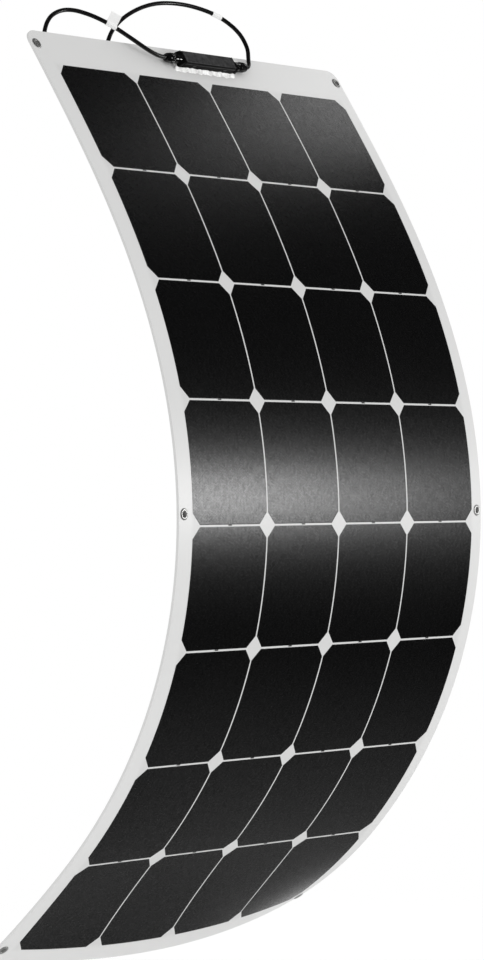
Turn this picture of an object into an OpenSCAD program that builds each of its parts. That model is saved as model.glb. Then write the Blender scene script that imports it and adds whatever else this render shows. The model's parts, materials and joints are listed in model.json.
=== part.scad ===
// Flexible solar sheet: four columns of dark cells in a thin white laminate that is held
// in a forward bow, with a junction box on the front of its top margin and two leads.
// Millimetres. X runs across the sheet, +Z is up and the cells face -Y.
// The origin is on the back face, half way between the two side eyelets.
// Along the sheet, u is the length from that line, positive towards the junction box,
// and d is the height above the back face, positive towards the front.

/* [Sheet] */
// Width across the sheet
sheet_w = 547; // [543:1:560]
// Length along the bow
sheet_l = 1074; // [1066:1:1090]
// Thickness of the rear carrier sheet
back_t = 1.6; // [1.2:0.1:2.4]
// Thickness of the white encapsulant that holds the cells
core_t = 0.9; // [0.8:0.1:1.2]
// Thickness of the clear front film
film_t = 0.5; // [0.3:0.1:0.8]
// Radius of the sheet's four corners
corner_r = 14; // [6:1:16]
// Length of laminate left free to bend between two bands of cells
flex_w = 1.6; // [1.2:0.1:1.8]

/* [Cells] */
// Side of one cell
cell_w = 125; // [123:0.5:125]
// Gap between neighbouring cells
cell_gap = 2; // [2:0.1:3]
// Leg of the cut across each corner of a cell
cell_cut = 12; // [6:0.5:16]
// Thickness of a cell
cell_t = 0.3; // [0.2:0.05:0.4]
// Shift of the cells to the right of the sheet's centre line
cells_right = 2.3; // [0:0.1:3]
// Shift of the cells below the sheet's middle
cells_down = 12; // [10:0.5:13]

/* [Bow] */
// Tightest radius of the bow
bow_r = 496; // [460:1:900]
// Place of the tightest radius, measured along the sheet from its middle
bow_peak = -155; // [-180:1:0]
// Length over which the bow fades to straight on each side of that place
bow_fade = 675; // [560:1:700]
// How far the middle of the bottom edge bulges forward of its corners
curl = 26; // [0:1:28]
// How far the left corner of the bottom edge is turned forward and the right one back
twist = 8.5; // [0:0.5:10]

/* [Eyelets] */
// Outer diameter of an eyelet's flange
eyelet_od = 12; // [10:0.5:14]
// Diameter of the hole for a screw or a cord
eyelet_bore = 5.5; // [4.5:0.1:6]
// Distance between the left and right eyelets
eyelet_span = 530; // [526:1:532]
// Distance between the top and bottom eyelets along the sheet
eyelet_length = 1040; // [1030:1:1044]

/* [Junction box] */
// Shift of the box to the right of the sheet's centre line
box_right = 14; // [8:1:16]
// Distance of the box's centre line below the top eyelets
box_down = 1; // [0:0.5:3]
// Length of the lid
lid_l = 90; // [84:1:96]
// Width of the box along the sheet
box_w = 16; // [15.5:0.5:17]
// Height of the box from its underside to the top of its lid
box_h = 11.4; // [11:0.1:13]
// Height of the side walls up to the gasket
wall_h = 7; // [6.5:0.1:7.2]
// Height of the leads' axis above the underside of the box
lead_h = 5.4; // [5.4:0.1:6]
// Length of a gland nut
nut_l = 18; // [18:0.5:21]

/* [Leads] */
// Outer diameter of a lead
lead_d = 4.6; // [4.2:0.1:4.8]
// Radius of the outer end of the left coil's winding
left_coil_r = 30.6; // [27:0.1:32]
// Radius of the outer end of the right coil's winding
right_coil_r = 27.5; // [27:0.1:32]
// Turns in a coil, a whole number and a quarter
coil_turns = 3.25; // [2.25:1:3.25]
// Length of lead that hangs straight from a coil to its connector
tail_l = 26; // [24:1:32]

/* [Hidden] */
$fn = 48;

columns = 4;
rows = 8;
pitch = cell_w + cell_gap;
half_l = sheet_l / 2;
core_d = back_t + core_t;
front_d = core_d + film_t;
tab_t = 0.2;
tab_w = 6;
tab_l = 10;
ribbon_w = 4;
sheet_blue = "lightsteelblue";

// Bands of the laminate from the top: the lines between rows that bound them
band_lines = [0, 1, 3, 5, 7, rows];

// Lean of the sheet from upright at a place u, positive when it leans back going up.
// The curvature falls off as a cosine on both sides of the tightest place, so the lean is a sine.
full_lean = bow_fade / bow_r * 360 / PI / PI;
function fade(u) = sin(90 * max(-1, min(1, (u - bow_peak) / bow_fade)));
function lean(u) = full_lean * (fade(u) - fade(0));

// The bow is made of flat facets, one of them centred on each line of eyelets
facets = 33;
facet_l = eyelet_length / 2 / facets;
function facet_of(u) = round(u / facet_l);
function along(j) = [sin(lean(j * facet_l)), cos(lean(j * facet_l))];
function out(j) = [-along(j)[1], along(j)[0]];
function step(j, k) = facet_l / 2 * (along(j) + along(k));
mids_up = [for (j = 0, p = [0, 0]; j <= facets + 1; p = p + step(j, j + 1), j = j + 1) p];
mids_down = [for (j = 0, p = [0, 0]; j <= facets + 1; p = p - step(-j, -j - 1), j = j + 1) p];
function facet_mid(j) = j < 0 ? mids_down[-j] : mids_up[j];

// Point [y, z] at length u and height d, and the bend between facet j and the next one
function spot(u, d) =
    let (j = facet_of(u)) facet_mid(j) + (u - j * facet_l) * along(j) + d * out(j);
function bend(j, d) =
    let (a = out(j), b = out(j + 1)) facet_mid(j) + facet_l / 2 * along(j) + d * (a + b) / (1 + a * b);
function bends(u0, u1, d) = [for (j = [facet_of(u0) : 1 : facet_of(u1) - 1]) bend(j, d)];
function reversed(list) = [for (i = [len(list) - 1 : -1 : 0]) list[i]];
function face(u0, u1, d) = concat([spot(u0, d)], bends(u0, u1, d), [spot(u1, d)]);

// Solid of the sheet between two lengths, two heights and two places across
module slab(u0, u1, d0, d1, x0, x1) {
    translate([x0, 0, 0])
        rotate([90, 0, 90])
            linear_extrude(x1 - x0)
                polygon(concat(face(u0, u1, d0), reversed(face(u0, u1, d1))));
}

// Frame on the back face at length u: X across, Y up along the sheet, Z out of the front
module on_sheet(u, x) {
    p = spot(u, 0);
    translate([x, p[0], p[1]])
        rotate([90 - lean(facet_of(u) * facet_l), 0, 0])
            children();
}

// The bottom band also bulges across its width and twists. The rise grows as a square down the
// band, is a parabola and a slope across it, and goes out of the front of the sheet at the bottom
// eyelets. Frame on the bulged back face at length u, with the same axes as on_sheet.
curl_u = line_u(rows - 1) - flex_w / 2;
function rise(x, u) =
    let (side = 2 * x / sheet_w)
        pow(max(0, curl_u - u) / (curl_u + half_l), 2) * (curl * (1 - pow(side, 2)) - twist * side);
module on_skin(u, x) {
    slope_x = rise(x + 0.5, u) - rise(x - 0.5, u);
    slope_u = rise(x, u + 0.5) - rise(x, u - 0.5);
    on_sheet(u, x)
        translate([0, 0, rise(x, u)])
            rotate([atan(slope_u), -atan(slope_x), 0])
                children();
}

// Solid of the whole bottom band between two heights, on a grid of triangles
curl_stations = 16;
module curled_slab(d0, d1) {
    u0 = band_low(4);
    u1 = band_top(4);
    us = concat([u0], [for (j = [facet_of(u0) : 1 : facet_of(u1) - 1]) (j + 0.5) * facet_l], [u1]);
    towards = out(facet_of(-eyelet_length / 2));
    last = len(us) - 1;
    n = (curl_stations + 1) * (last + 1);
    points = [for (d = [d0, d1])
        let (line = face(u0, u1, d))
            for (i = [0 : curl_stations], r = [0 : last])
                let (x = (i / curl_stations - 0.5) * sheet_w, p = line[r] + rise(x, us[r]) * towards)
                    [x, p[0], p[1]]];
    function at(i, r) = i * (last + 1) + r;
    front = [for (i = [0 : curl_stations - 1], r = [0 : last - 1])
        let (a = at(i, r), b = at(i + 1, r), c = at(i + 1, r + 1), e = at(i, r + 1))
            each [[n + a, n + c, n + b], [n + a, n + e, n + c]]];
    back = [for (t = front) [t[0] - n, t[2] - n, t[1] - n]];
    rim = concat([for (i = [0 : curl_stations]) at(i, 0)],
                 [for (r = [1 : last]) at(curl_stations, r)],
                 [for (i = [curl_stations - 1 : -1 : 0]) at(i, last)],
                 [for (r = [last - 1 : -1 : 1]) at(0, r)]);
    walls = [for (i = [0 : len(rim) - 1])
        let (a = rim[i], b = rim[(i + 1) % len(rim)]) [a, n + a, n + b, b]];
    polyhedron(points, concat(front, back, walls));
}

// Places of the rows, columns, bands and eyelets
function line_u(k) = (rows / 2 - k) * pitch - cells_down;
function cell_u(row) = (line_u(row - 1) + line_u(row)) / 2;
function cell_x(column) = (column - (columns + 1) / 2) * pitch + cells_right;
function band_top(b) = b == 0 ? half_l : line_u(band_lines[b]) - flex_w / 2;
function band_low(b) = b == 4 ? -half_l : line_u(band_lines[b + 1]) + flex_w / 2;
function band_rows(b) = [band_lines[b] + 1 : band_lines[b + 1]];
function eyelet_u(b) = (1 - b / 2) * eyelet_length / 2;
eyelet_wall = 0.6;
barrel_r = eyelet_bore / 2 + eyelet_wall;

// Holes for the eyelets. On the bulged band the faces under the flange and washer are cut flat.
module eyelet_holes(b) {
    hole_r = barrel_r + 0.15;
    seat_r = eyelet_od / 2 + 0.2;
    if (b % 2 == 0)
        for (side = [-1, 1])
            on_skin(eyelet_u(b), side * eyelet_span / 2) {
                translate([0, 0, -5])
                    cylinder(r = hole_r, h = 15);
                if (b == 4) translate([0, 0, front_d]) cylinder(r = seat_r, h = 5);
                if (b == 4) translate([0, 0, -5]) cylinder(r = seat_r, h = 5);
            }
}

module corner_cuts(b) {
    end = b == 0 ? 1 : -1;
    if (b % 4 == 0)
        for (side = [-1, 1])
            on_sheet(eyelet_u(b), side * (sheet_w / 2 - corner_r))
                translate([0, end * (half_l - eyelet_length / 2 - corner_r), -15])
                    linear_extrude(35)
                        difference() {
                            translate([side > 0 ? 0 : -corner_r - 1, end > 0 ? 0 : -corner_r - 1])
                                square(corner_r + 1);
                            circle(corner_r);
                        }
}

// One layer of one band, with its eyelet holes and rounded corners
module layer(b, d0, d1) {
    difference() {
        if (b == 4) curled_slab(d0, d1);
        else slab(band_low(b), band_top(b), d0, d1, -sheet_w / 2, sheet_w / 2);
        eyelet_holes(b);
        corner_cuts(b);
    }
}

// Square cell with cut corners, between two heights
module cell(row, column, d0, d1) {
    h = cell_w / 2;
    over = 1;
    x = cell_x(column);
    end = row == rows ? 0 : over;
    intersection() {
        if (row == rows) curled_slab(d0, d1);
        else slab(cell_u(row) - h, cell_u(row) + h, d0, d1, x - h - over, x + h + over);
        on_sheet(cell_u(row), x)
            translate([0, 0, -50])
                linear_extrude(100)
                    polygon([for (q = [[1, 1, 0], [1, 1, 1], [-1, 1, 1], [-1, 1, 0],
                                       [-1, -1, 0], [-1, -1, 1], [1, -1, 1], [1, -1, 0]])
                        q[2] == 0 ? [q[0] * h, q[1] * (h - cell_cut)]
                                  : [q[0] * (h - cell_cut - end), q[1] * (h + end)]]);
    }
}

// Tab that joins the cells above and below a line, and the slot that it lies in
module tab(line, column, d1) {
    u = line_u(line);
    x = cell_x(column);
    slab(u - tab_l / 2, u + tab_l / 2, core_d - cell_t - tab_t, d1, x - tab_w / 2, x + tab_w / 2);
}

module tab_slots(first, last) {
    for (line = [first : last], column = [1 : columns])
        tab(line, column, core_d + 1);
}

// Ribbons that join the columns in the margins. At the top three of them rise into the box:
// the middle one runs along the cells, and the outer two run beyond it from the outer columns.
box_v = -box_down;
riser_x = [-30, 0, 30];
riser_v = box_v - 3;
under_v = line_u(0) - cell_gap / 2 - 3 - eyelet_length / 2;
outer_v = under_v + ribbon_w + 2;
ribbon_room = 0.1;
module ribbon(x0, x1, v0, v1) {
    translate([x0, v0, core_d - cell_t - tab_t - ribbon_room])
        cube([x1 - x0, v1 - v0, tab_t]);
}

module ribbon_runs() {
    h = ribbon_w / 2;
    ribbon(cell_x(2) - h, cell_x(3) + h, under_v, under_v + ribbon_w);
    ribbon(cell_x(1) - h, box_right + riser_x[0] + h, outer_v, outer_v + ribbon_w);
    ribbon(box_right + riser_x[2] - h, cell_x(4) + h, outer_v, outer_v + ribbon_w);
    for (column = [1, 4])
        ribbon(cell_x(column) - h, cell_x(column) + h, under_v, outer_v + ribbon_w);
    for (i = [0 : 2])
        ribbon(box_right + riser_x[i] - h, box_right + riser_x[i] + h,
               i == 1 ? under_v : outer_v, riser_v + tab_t);
}

module risers(grow, height) {
    for (x = riser_x)
        translate([box_right + x - ribbon_w / 2 - grow, riser_v - grow, core_d - cell_t - tab_t])
            cube([ribbon_w + 2 * grow, tab_t + 2 * grow, height]);
}

module bottom_runs() {
    for (pair = [[1, 2], [3, 4]])
        intersection() {
            curled_slab(core_d - cell_t - tab_t, core_d - cell_t);
            on_sheet(cell_u(rows), cell_x(pair[0]) - ribbon_w / 2)
                translate([0, 2 - pitch / 2 - ribbon_w, -50])
                    cube([cell_x(pair[1]) - cell_x(pair[0]) + ribbon_w, ribbon_w, 100]);
        }
}

module back_sheet(b) {
    color("gainsboro")
        layer(b, 0, back_t);
}

module encapsulant(b) {
    color("whitesmoke")
        difference() {
            layer(b, back_t, core_d);
            for (row = band_rows(b), column = [1 : columns])
                cell(row, column, core_d - cell_t, core_d + 1);
            tab_slots(max(1, band_lines[b]), min(rows - 1, band_lines[b + 1]));
            if (b == 0) on_sheet(eyelet_u(0), 0) ribbon_runs();
            if (b == 0) on_sheet(eyelet_u(0), 0) risers(0.2, 3);
            if (b == 4) bottom_runs();
        }
}

module cells(b) {
    color([0.07, 0.07, 0.08])
        for (row = band_rows(b), column = [1 : columns])
            cell(row, column, core_d - cell_t, core_d);
}

module front_film(b) {
    color(sheet_blue, 0.4)
        difference() {
            layer(b, core_d, front_d);
            if (b == 0) on_sheet(eyelet_u(0), 0) risers(0.2, 3);
        }
}

module flex_strip(line) {
    u = line_u(line);
    half = flex_w / 2 - 0.03;
    color("white")
        difference() {
            slab(u - half, u + half, 0, front_d, -sheet_w / 2, sheet_w / 2);
            tab_slots(line, line);
        }
}

module cell_tabs(line) {
    color("dimgray")
        for (column = [1 : columns])
            tab(line, column, core_d - cell_t);
}

module bus_ribbons_top() {
    color("silver")
        on_sheet(eyelet_u(0), 0) {
            union() {
                ribbon_runs();
                risers(0, 5.2);
            }
        }
}

module bus_ribbons_bottom() {
    color("silver")
        bottom_runs();
}

// Metal eyelet rolled over a washer behind the sheet
flange_h = 0.9;
washer_t = 0.7;
lip_t = 0.5;
module eyelet() {
    bore_r = eyelet_bore / 2;
    flange_r = eyelet_od / 2;
    lip_r = barrel_r + 0.9;
    rotate_extrude()
        polygon([[bore_r, -washer_t - lip_t], [lip_r, -washer_t - lip_t], [lip_r, -washer_t - 0.05],
                 [barrel_r, -washer_t - 0.05], [barrel_r, front_d], [flange_r, front_d],
                 [flange_r, front_d + flange_h / 3], [flange_r - 1.2, front_d + flange_h],
                 [bore_r + 0.8, front_d + flange_h], [bore_r, front_d + flange_h / 3]]);
    translate([0, 0, -washer_t])
        difference() {
            cylinder(d = eyelet_od, h = washer_t);
            translate([0, 0, -1]) cylinder(r = barrel_r + 0.15, h = washer_t + 2);
        }
}

module eyelets(b) {
    color("silver")
        for (side = [-1, 1])
            on_skin(eyelet_u(b), side * eyelet_span / 2)
                eyelet();
}

// Junction box, in a frame on the front of the sheet at the middle of the box
seal_t = 0.6;
seal_rim = 2;
end_gap = 0.3;
end_l = 5;
box_wall = 1.5;
box_floor = 1.2;
gasket_t = 0.5;
neck_l = 10;
neck_r = 4;
conductor_r = 1.2;
clip_x = lid_l / 3.3;
clip_w = 6;
block_x = lid_l / 2 + end_gap;
neck_x = block_x + end_l;
nut_x = neck_x + 2.7;
exit_x = nut_x + nut_l;
module in_box() {
    on_sheet(eyelet_u(0), box_right)
        translate([0, box_v, front_d + seal_t])
            children();
}

module block(l, w, z0, z1) {
    translate([-l / 2, -w / 2, z0])
        cube([l, w, z1 - z0]);
}

// Sweep along X of an outline that is drawn in Y and Z
module along_x(l) {
    translate([-l / 2, 0, 0])
        rotate([90, 0, 90])
            linear_extrude(l)
                children();
}

module riser_slots(z0, z1) {
    for (x = riser_x)
        translate([x, riser_v - box_v + tab_t / 2, 0])
            block(ribbon_w + 0.4, tab_t + 0.4, z0, z1);
}

module box_sealant() {
    color("white")
        in_box()
            difference() {
                block(2 * neck_x + seal_rim, box_w + 2 * seal_rim, -seal_t, 0);
                riser_slots(-seal_t - 1, 1);
            }
}

module box_base() {
    cavity_l = lid_l - 2;
    end_h = box_h - 0.4;
    color([0.1, 0.1, 0.11])
        in_box()
            difference() {
                union() {
                    block(2 * block_x, box_w, 0, wall_h);
                    for (side = [0, 1])
                        mirror([side, 0, 0]) {
                            translate([0, box_w / 2, 0])
                                rotate([90, 0, 0])
                                    linear_extrude(box_w)
                                        polygon([[block_x, 0], [block_x, end_h], [block_x + 1, end_h],
                                                 [neck_x, wall_h], [neck_x, 0]]);
                            translate([neck_x - 1, 0, lead_h])
                                rotate([0, 90, 0])
                                    cylinder(r = neck_r, h = neck_l + 1);
                        }
                }
                block(cavity_l, box_w - 2 * box_wall, box_floor, box_h + 1);
                for (side = [0, 1])
                    mirror([side, 0, 0]) {
                        translate([block_x, 0, lead_h])
                            rotate([0, 90, 0])
                                cylinder(d = lead_d + 0.5, h = end_l + neck_l + 1);
                        translate([cavity_l / 2 - 1, 0, lead_h])
                            rotate([0, 90, 0])
                                cylinder(r = conductor_r + 0.15, h = 3);
                        translate([clip_x, -box_w / 2, 0])
                            block(clip_w, 1.2, wall_h - 2.5, wall_h + 1);
                    }
                riser_slots(-1, box_floor + 1);
            }
}

module box_gasket() {
    color([0.2, 0.2, 0.2])
        in_box()
            difference() {
                block(lid_l - 0.4, box_w - 0.4, wall_h, wall_h + gasket_t);
                block(lid_l - 2, box_w - 2 * box_wall, 0, box_h);
            }
}

module box_lid() {
    low = wall_h + gasket_t + 0.05;
    edge = 1.2;
    shoulder = 1.8;
    roof = 1.4;
    lip = 1.8;
    inside_l = lid_l - 5;
    color([0.16, 0.16, 0.17])
        in_box()
            difference() {
                union() {
                    along_x(lid_l)
                        polygon([[-box_w / 2, low], [box_w / 2, low], [box_w / 2, box_h - shoulder],
                                 [box_w / 2 - edge, box_h], [edge - box_w / 2, box_h],
                                 [-box_w / 2, box_h - shoulder]]);
                    block(inside_l, box_w - 2 * box_wall - 0.8, low - lip, low + 1);
                }
                block(inside_l, box_w - 2 * box_wall - 2.8, 0, box_h - roof);
            }
}

// Bypass diodes whose flat legs lie across two pads
pad_top = box_floor + 0.9;
module bypass_diodes() {
    color([0.13, 0.13, 0.13])
        in_box()
            for (side = [-1, 1])
                translate([side * riser_x[2] / 2, 2, 0]) {
                    block(9, 5, box_floor + 0.2, box_floor + 3);
                    block(riser_x[2] - 6, 1.2, pad_top + 0.05, pad_top + 0.5);
                }
}

// Three brass pads that the risers come up through, with a barrel on each outer pad for a lead
pad_l = 9;
module box_terminals() {
    barrel_x = riser_x[2] + pad_l / 2;
    post_t = 1;
    color("goldenrod")
        in_box() {
            difference() {
                for (x = riser_x)
                    translate([x, 0, 0])
                        block(pad_l, 10, box_floor + 0.05, pad_top);
                riser_slots(0, box_h);
            }
            for (side = [0, 1])
                mirror([side, 0, 0]) {
                    translate([barrel_x - post_t / 2, 0, 0])
                        block(post_t, 3, box_floor + 0.05, lead_h);
                    translate([barrel_x - post_t, 0, lead_h])
                        rotate([0, 90, 0])
                            cylinder(r = conductor_r, h = block_x + 0.2 - barrel_x + post_t);
                }
        }
}

module gland_seals() {
    color([0.25, 0.25, 0.25])
        in_box()
            for (side = [-1, 1])
                translate([side * (neck_x + neck_l + 1.6), 0, lead_h])
                    rotate([0, 90, 0])
                        difference() {
                            cylinder(r = neck_r - 0.2, h = 2.6, center = true);
                            cylinder(d = lead_d + 0.2, h = 5, center = true);
                        }
}

// Nut that closes on a gland seal, drawn from its mouth with its thin end at the top
module gland_nut() {
    nut_r = 5.6;
    grip_l = 13;
    difference() {
        union() {
            cylinder(r = nut_r, h = grip_l, $fn = 12);
            translate([0, 0, grip_l])
                cylinder(r1 = nut_r - 0.6, r2 = lead_d / 2 + 1.3, h = nut_l - grip_l);
        }
        translate([0, 0, -1]) cylinder(r = neck_r + 0.3, h = neck_x + neck_l + 4.3 - nut_x);
        translate([0, 0, -1]) cylinder(d = lead_d + 0.8, h = nut_l + 2);
    }
}

module gland_nut_left() {
    color([0.12, 0.12, 0.12])
        in_box()
            translate([-nut_x, 0, lead_h])
                rotate([0, -90, 0])
                    gland_nut();
}

module gland_nut_right() {
    color([0.12, 0.12, 0.12])
        in_box()
            translate([nut_x, 0, lead_h])
                rotate([0, 90, 0])
                    gland_nut();
}

// Places for the leads: near(x, v, w) is v up along the sheet from the top eyelets and w out of
// its front, and behind(x, back, down) is measured from the back of the top edge, true to gravity
top_lean = lean(eyelet_u(0));
top_eyelet = spot(eyelet_u(0), front_d);
top_edge = spot(half_l, 0);
function near(x, v, w) =
    [x, top_eyelet[0] + v * sin(top_lean) - w * cos(top_lean),
     top_eyelet[1] + v * cos(top_lean) + w * sin(top_lean)];
function behind(x, back, down) = [x, top_edge[0] + back, top_edge[1] - down];

coil_top = 52;
coil_back = 7.5;
left_coil = [-130, left_coil_r];
right_coil = [-45, right_coil_r];
axis_w = seal_t + lead_h;
start_x = block_x + 0.3;
left_route = [
    near(box_right - start_x, box_v, axis_w), near(box_right - exit_x, box_v, axis_w),
    near(-70.6, 0.2, 6.5), near(-81.5, 3.4, 7.3), near(-93.4, 8.4, 8.4), near(-103.6, 14, 9),
    near(-113, 19.8, 9.1), near(-122, 25.6, 9), near(-140.4, 36.5, 7.9), near(-151, 42.4, 6.2),
    near(-162, 46.8, 4.5),
    near(-173.5, 49.6, 3), near(-185.4, 50.7, 0.5), near(-197.2, 48.6, -2), near(-207.2, 44.3, -4.5),
    near(-215.8, 37.8, -6.5), near(-222.9, 29.8, -8.5), near(-228.9, 21.1, -10),
    behind(-232.6, 7, 9), behind(-233.1, 6.8, 18), behind(-229.9, 6.7, 26.8), behind(-223.2, 6.6, 34),
    behind(-214, 6.6, 39.7), behind(-202.5, 6.7, 44.5), behind(-189.5, 6.9, 48), behind(-175, 7, 50.5),
    behind(-160, 7.5, 51.7), behind(-147, 7.5, 52), behind(left_coil[0] - lead_d, coil_back, coil_top)
];
right_route = [
    near(box_right + start_x, box_v, axis_w), near(box_right + exit_x, box_v, axis_w),
    near(91.5, 0.8, 5.7), near(97.1, 5.1, 5.3), near(100.6, 10, 5), near(104.1, 15.8, 5.3),
    near(107.7, 25.4, 7), near(105.1, 39, 9.6), near(96.4, 47.5, 12), near(89.8, 54.1, 12.1),
    near(82.2, 59.7, 12),
    near(62.8, 68, 11.5), near(51.6, 71.3, 10.7), near(41.5, 73.6, 9.9), near(30.2, 75.4, 9),
    near(16, 76.8, 7.5), near(0.5, 77, 6), near(-15.3, 75.7, 4.5),
    near(-31.2, 72.7, 3), near(-46.7, 68.4, 1.5), near(-61.6, 63.2, -0.5), near(-75.7, 57.2, -2.5),
    near(-88.7, 50.4, -4.5), near(-100.5, 42.9, -6.5), near(-111.2, 34.5, -8), near(-120.6, 25.2, -9.5),
    behind(-127.7, 8, 6.3), behind(-131.3, 7.6, 16), behind(-130.4, 7.4, 25), behind(-125.8, 7.4, 33),
    behind(-117.4, 7.4, 39.5), behind(-106.5, 7.5, 44.3), behind(-94.5, 7.5, 48),
    behind(-82, 7.5, 50.5), behind(-70, 7.5, 51.8), behind(-60, 7.5, 52),
    behind(right_coil[0] - lead_d, coil_back, coil_top)
];

// A tube of triangles along a path. The frame of each ring is the last one, turned the least.
function unit(v) = v / norm(v);
function heading(path, i) = unit(path[min(i + 1, len(path) - 1)] - path[max(i - 1, 0)]);
function square_to(n, t) = unit(n - (n * t) * t);
function normals(path, first) =
    [for (i = 0, n = square_to(first, heading(path, 0)); i < len(path);
          i = i + 1, n = square_to(n, heading(path, i))) n];
module tube(path, d, sides, first) {
    last = len(path) - 1;
    side_normals = normals(path, first);
    points = [for (i = [0 : last], s = [0 : sides - 1])
        let (n = side_normals[i], m = cross(heading(path, i), n), a = 360 * s / sides)
            path[i] + d / 2 * (cos(a) * n + sin(a) * m)];
    walls = [for (i = [0 : last - 1], s = [0 : sides - 1])
        let (p = i * sides, q = (s + 1) % sides)
            each [[p + s, p + sides + s, p + q], [p + q, p + sides + s, p + sides + q]]];
    ends = [for (s = [1 : sides - 2])
        each [[0, s, s + 1], [last * sides, last * sides + s + 1, last * sides + s]]];
    polyhedron(points, concat(walls, ends));
}

// Piled coil in the plane behind the top edge, given as its centre across and its outer radius.
// It winds in on one layer, climbs in the half turn where it reverses, and winds out on the next.
// It starts at the top and ends heading down.
coil_pitch = lead_d + 0.6;
loop_rings = 24;
middle_turn = coil_turns / 2;
function coil_in(coil) = coil[1] - coil_pitch * middle_turn;
function coil_down(coil) = coil_top + coil[1];
function wind(coil, turn) = coil_in(coil) + coil_pitch * abs(turn - middle_turn);
function climb(turn) = coil_pitch * max(0, min(1, (turn - middle_turn) * 2 + 0.5));
function coil_point(coil, turn) =
    behind(coil[0] + wind(coil, turn) * sin(360 * turn), coil_back + climb(turn),
           coil_down(coil) - wind(coil, turn) * cos(360 * turn));
function coil_loops(coil) = [for (i = [0 : loop_rings * coil_turns]) coil_point(coil, i / loop_rings)];
function coil_end(coil) =
    behind(coil[0] + coil[1], coil_back + coil_pitch, coil_down(coil) + tail_l);
function coil_path(coil) =
    concat([behind(coil[0] - lead_d, coil_back, coil_top)], coil_loops(coil), [coil_end(coil)]);

// Least clear distance between points that are at least half a loop apart, and a path's length
function least_gap(points) =
    min([for (i = [0 : len(points) - 1], j = [i + loop_rings / 2 : 1 : len(points) - 1])
        norm(points[i] - points[j])]) - lead_d;
function path_length(path, i = 1) =
    i == len(path) ? 0 : norm(path[i] - path[i - 1]) + path_length(path, i + 1);
echo(left_coil_self_gap = least_gap(coil_loops(left_coil)));
echo(right_coil_self_gap = least_gap(coil_loops(right_coil)));
echo(left_lead_length = path_length(left_route) + path_length(coil_path(left_coil)));
echo(right_lead_length = path_length(right_route) + path_length(coil_path(right_coil)));

module lead(route) {
    color([0.08, 0.08, 0.08])
        tube(route, lead_d, 8, [0, 0, 1]);
}

module coil(place) {
    color([0.08, 0.08, 0.08])
        tube(coil_path(place), lead_d, 6, [0, 1, 0]);
}

// Flat tie round the turns at the bottom of each coil
module coil_ties() {
    tie_w = 3.5;
    tie_t = 0.7;
    room = lead_d / 2 + 0.3;
    deep = coil_pitch + 2 * room;
    color([0.15, 0.15, 0.15])
        for (coil = [left_coil, right_coil]) {
            high = coil_in(coil) - room;
            low = wind(coil, 0.5) + room;
            translate(behind(coil[0], coil_back + coil_pitch / 2, coil_down(coil) + (low + high) / 2))
                along_x(tie_w)
                    difference() {
                        square([deep + 2 * tie_t, low - high + 2 * tie_t], center = true);
                        square([deep, low - high], center = true);
                    }
        }
}

// Labels on the straight stretches of the leads
module on_lead(route, i) {
    t = unit(route[i + 1] - route[i]);
    translate((route[i] + route[i + 1]) / 2)
        rotate([0, acos(t[2]), atan2(t[1], t[0])])
            children();
}

module sleeve(l) {
    difference() {
        cylinder(d = lead_d + 0.9, h = l, center = true);
        cylinder(d = lead_d + 0.3, h = l + 1, center = true);
    }
}

flag_at = 7;
flag_l = 13;
flag_w = 11;
flag_turn = 160;
module flag_label() {
    color("white")
        on_lead(left_route, flag_at)
            rotate([0, 0, flag_turn]) {
                sleeve(flag_l);
                translate([lead_d / 2 + 0.3, -0.25, -flag_l / 2])
                    cube([flag_w, 0.5, flag_l]);
            }
}

sleeve_at = 10;
module sleeve_label() {
    color("white")
        on_lead(right_route, sleeve_at)
            sleeve(13);
}

// Connectors that hang from the coils with their axes upright and their mouths down
thread_r = 6;
thread_l = 11;
hub_r = 8;
hub_l = 15;
nose_l = 24;
plug_r = 5.6;
socket_r = 7.6;
contact_r = 1.5;
nut_grip_l = 16;
module hang(coil) {
    translate(coil_end(coil))
        mirror([0, 0, 1])
            children();
}

module connector_nut() {
    difference() {
        union() {
            translate([0, 0, -3]) cylinder(r1 = lead_d / 2 + 1.4, r2 = 7.3, h = 5);
            translate([0, 0, 2]) cylinder(r = 7.6, h = nut_grip_l - 5, $fn = 12);
        }
        translate([0, 0, -4]) cylinder(d = lead_d + 0.8, h = nut_grip_l);
        translate([0, 0, 1.6]) cylinder(r = thread_r + 0.3, h = nut_grip_l);
    }
}

module plug_nut() {
    color([0.12, 0.12, 0.12])
        hang(left_coil)
            connector_nut();
}

module socket_nut() {
    color([0.12, 0.12, 0.12])
        hang(right_coil)
            connector_nut();
}

hub_z = thread_l + 2.4;
nose_z = hub_z + hub_l;
module connector_hub() {
    translate([0, 0, 2]) cylinder(r = thread_r, h = hub_z - 1);
    translate([0, 0, hub_z]) cylinder(r = hub_r, h = hub_l);
}

// Hole through a connector for the lead and its contact
module contact_way() {
    translate([0, 0, -1]) cylinder(r = contact_r + 0.6, h = nose_z + nose_l);
}

module plug_body() {
    color([0.1, 0.1, 0.1])
        hang(left_coil)
            difference() {
                union() {
                    connector_hub();
                    translate([0, 0, nose_z - 1]) cylinder(r = plug_r, h = nose_l + 1);
                    for (side = [-1, 1])
                        translate([side * 6.9 - 0.8, -2.5, nose_z - 1])
                            cube([1.6, 5, 15]);
                }
                contact_way();
                translate([0, 0, nose_z]) cylinder(r = plug_r - 1.3, h = nose_l + 1);
            }
}

module socket_body() {
    color([0.1, 0.1, 0.1])
        hang(right_coil)
            difference() {
                union() {
                    connector_hub();
                    translate([0, 0, nose_z - 1]) cylinder(r = socket_r, h = nose_l + 1);
                }
                contact_way();
                translate([0, 0, nose_z + 1]) cylinder(r = plug_r + 0.4, h = nose_l + 1);
                translate([0, 0, nose_z + 7]) block(20, 6, -2.5, 2.5);
            }
}

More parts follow.
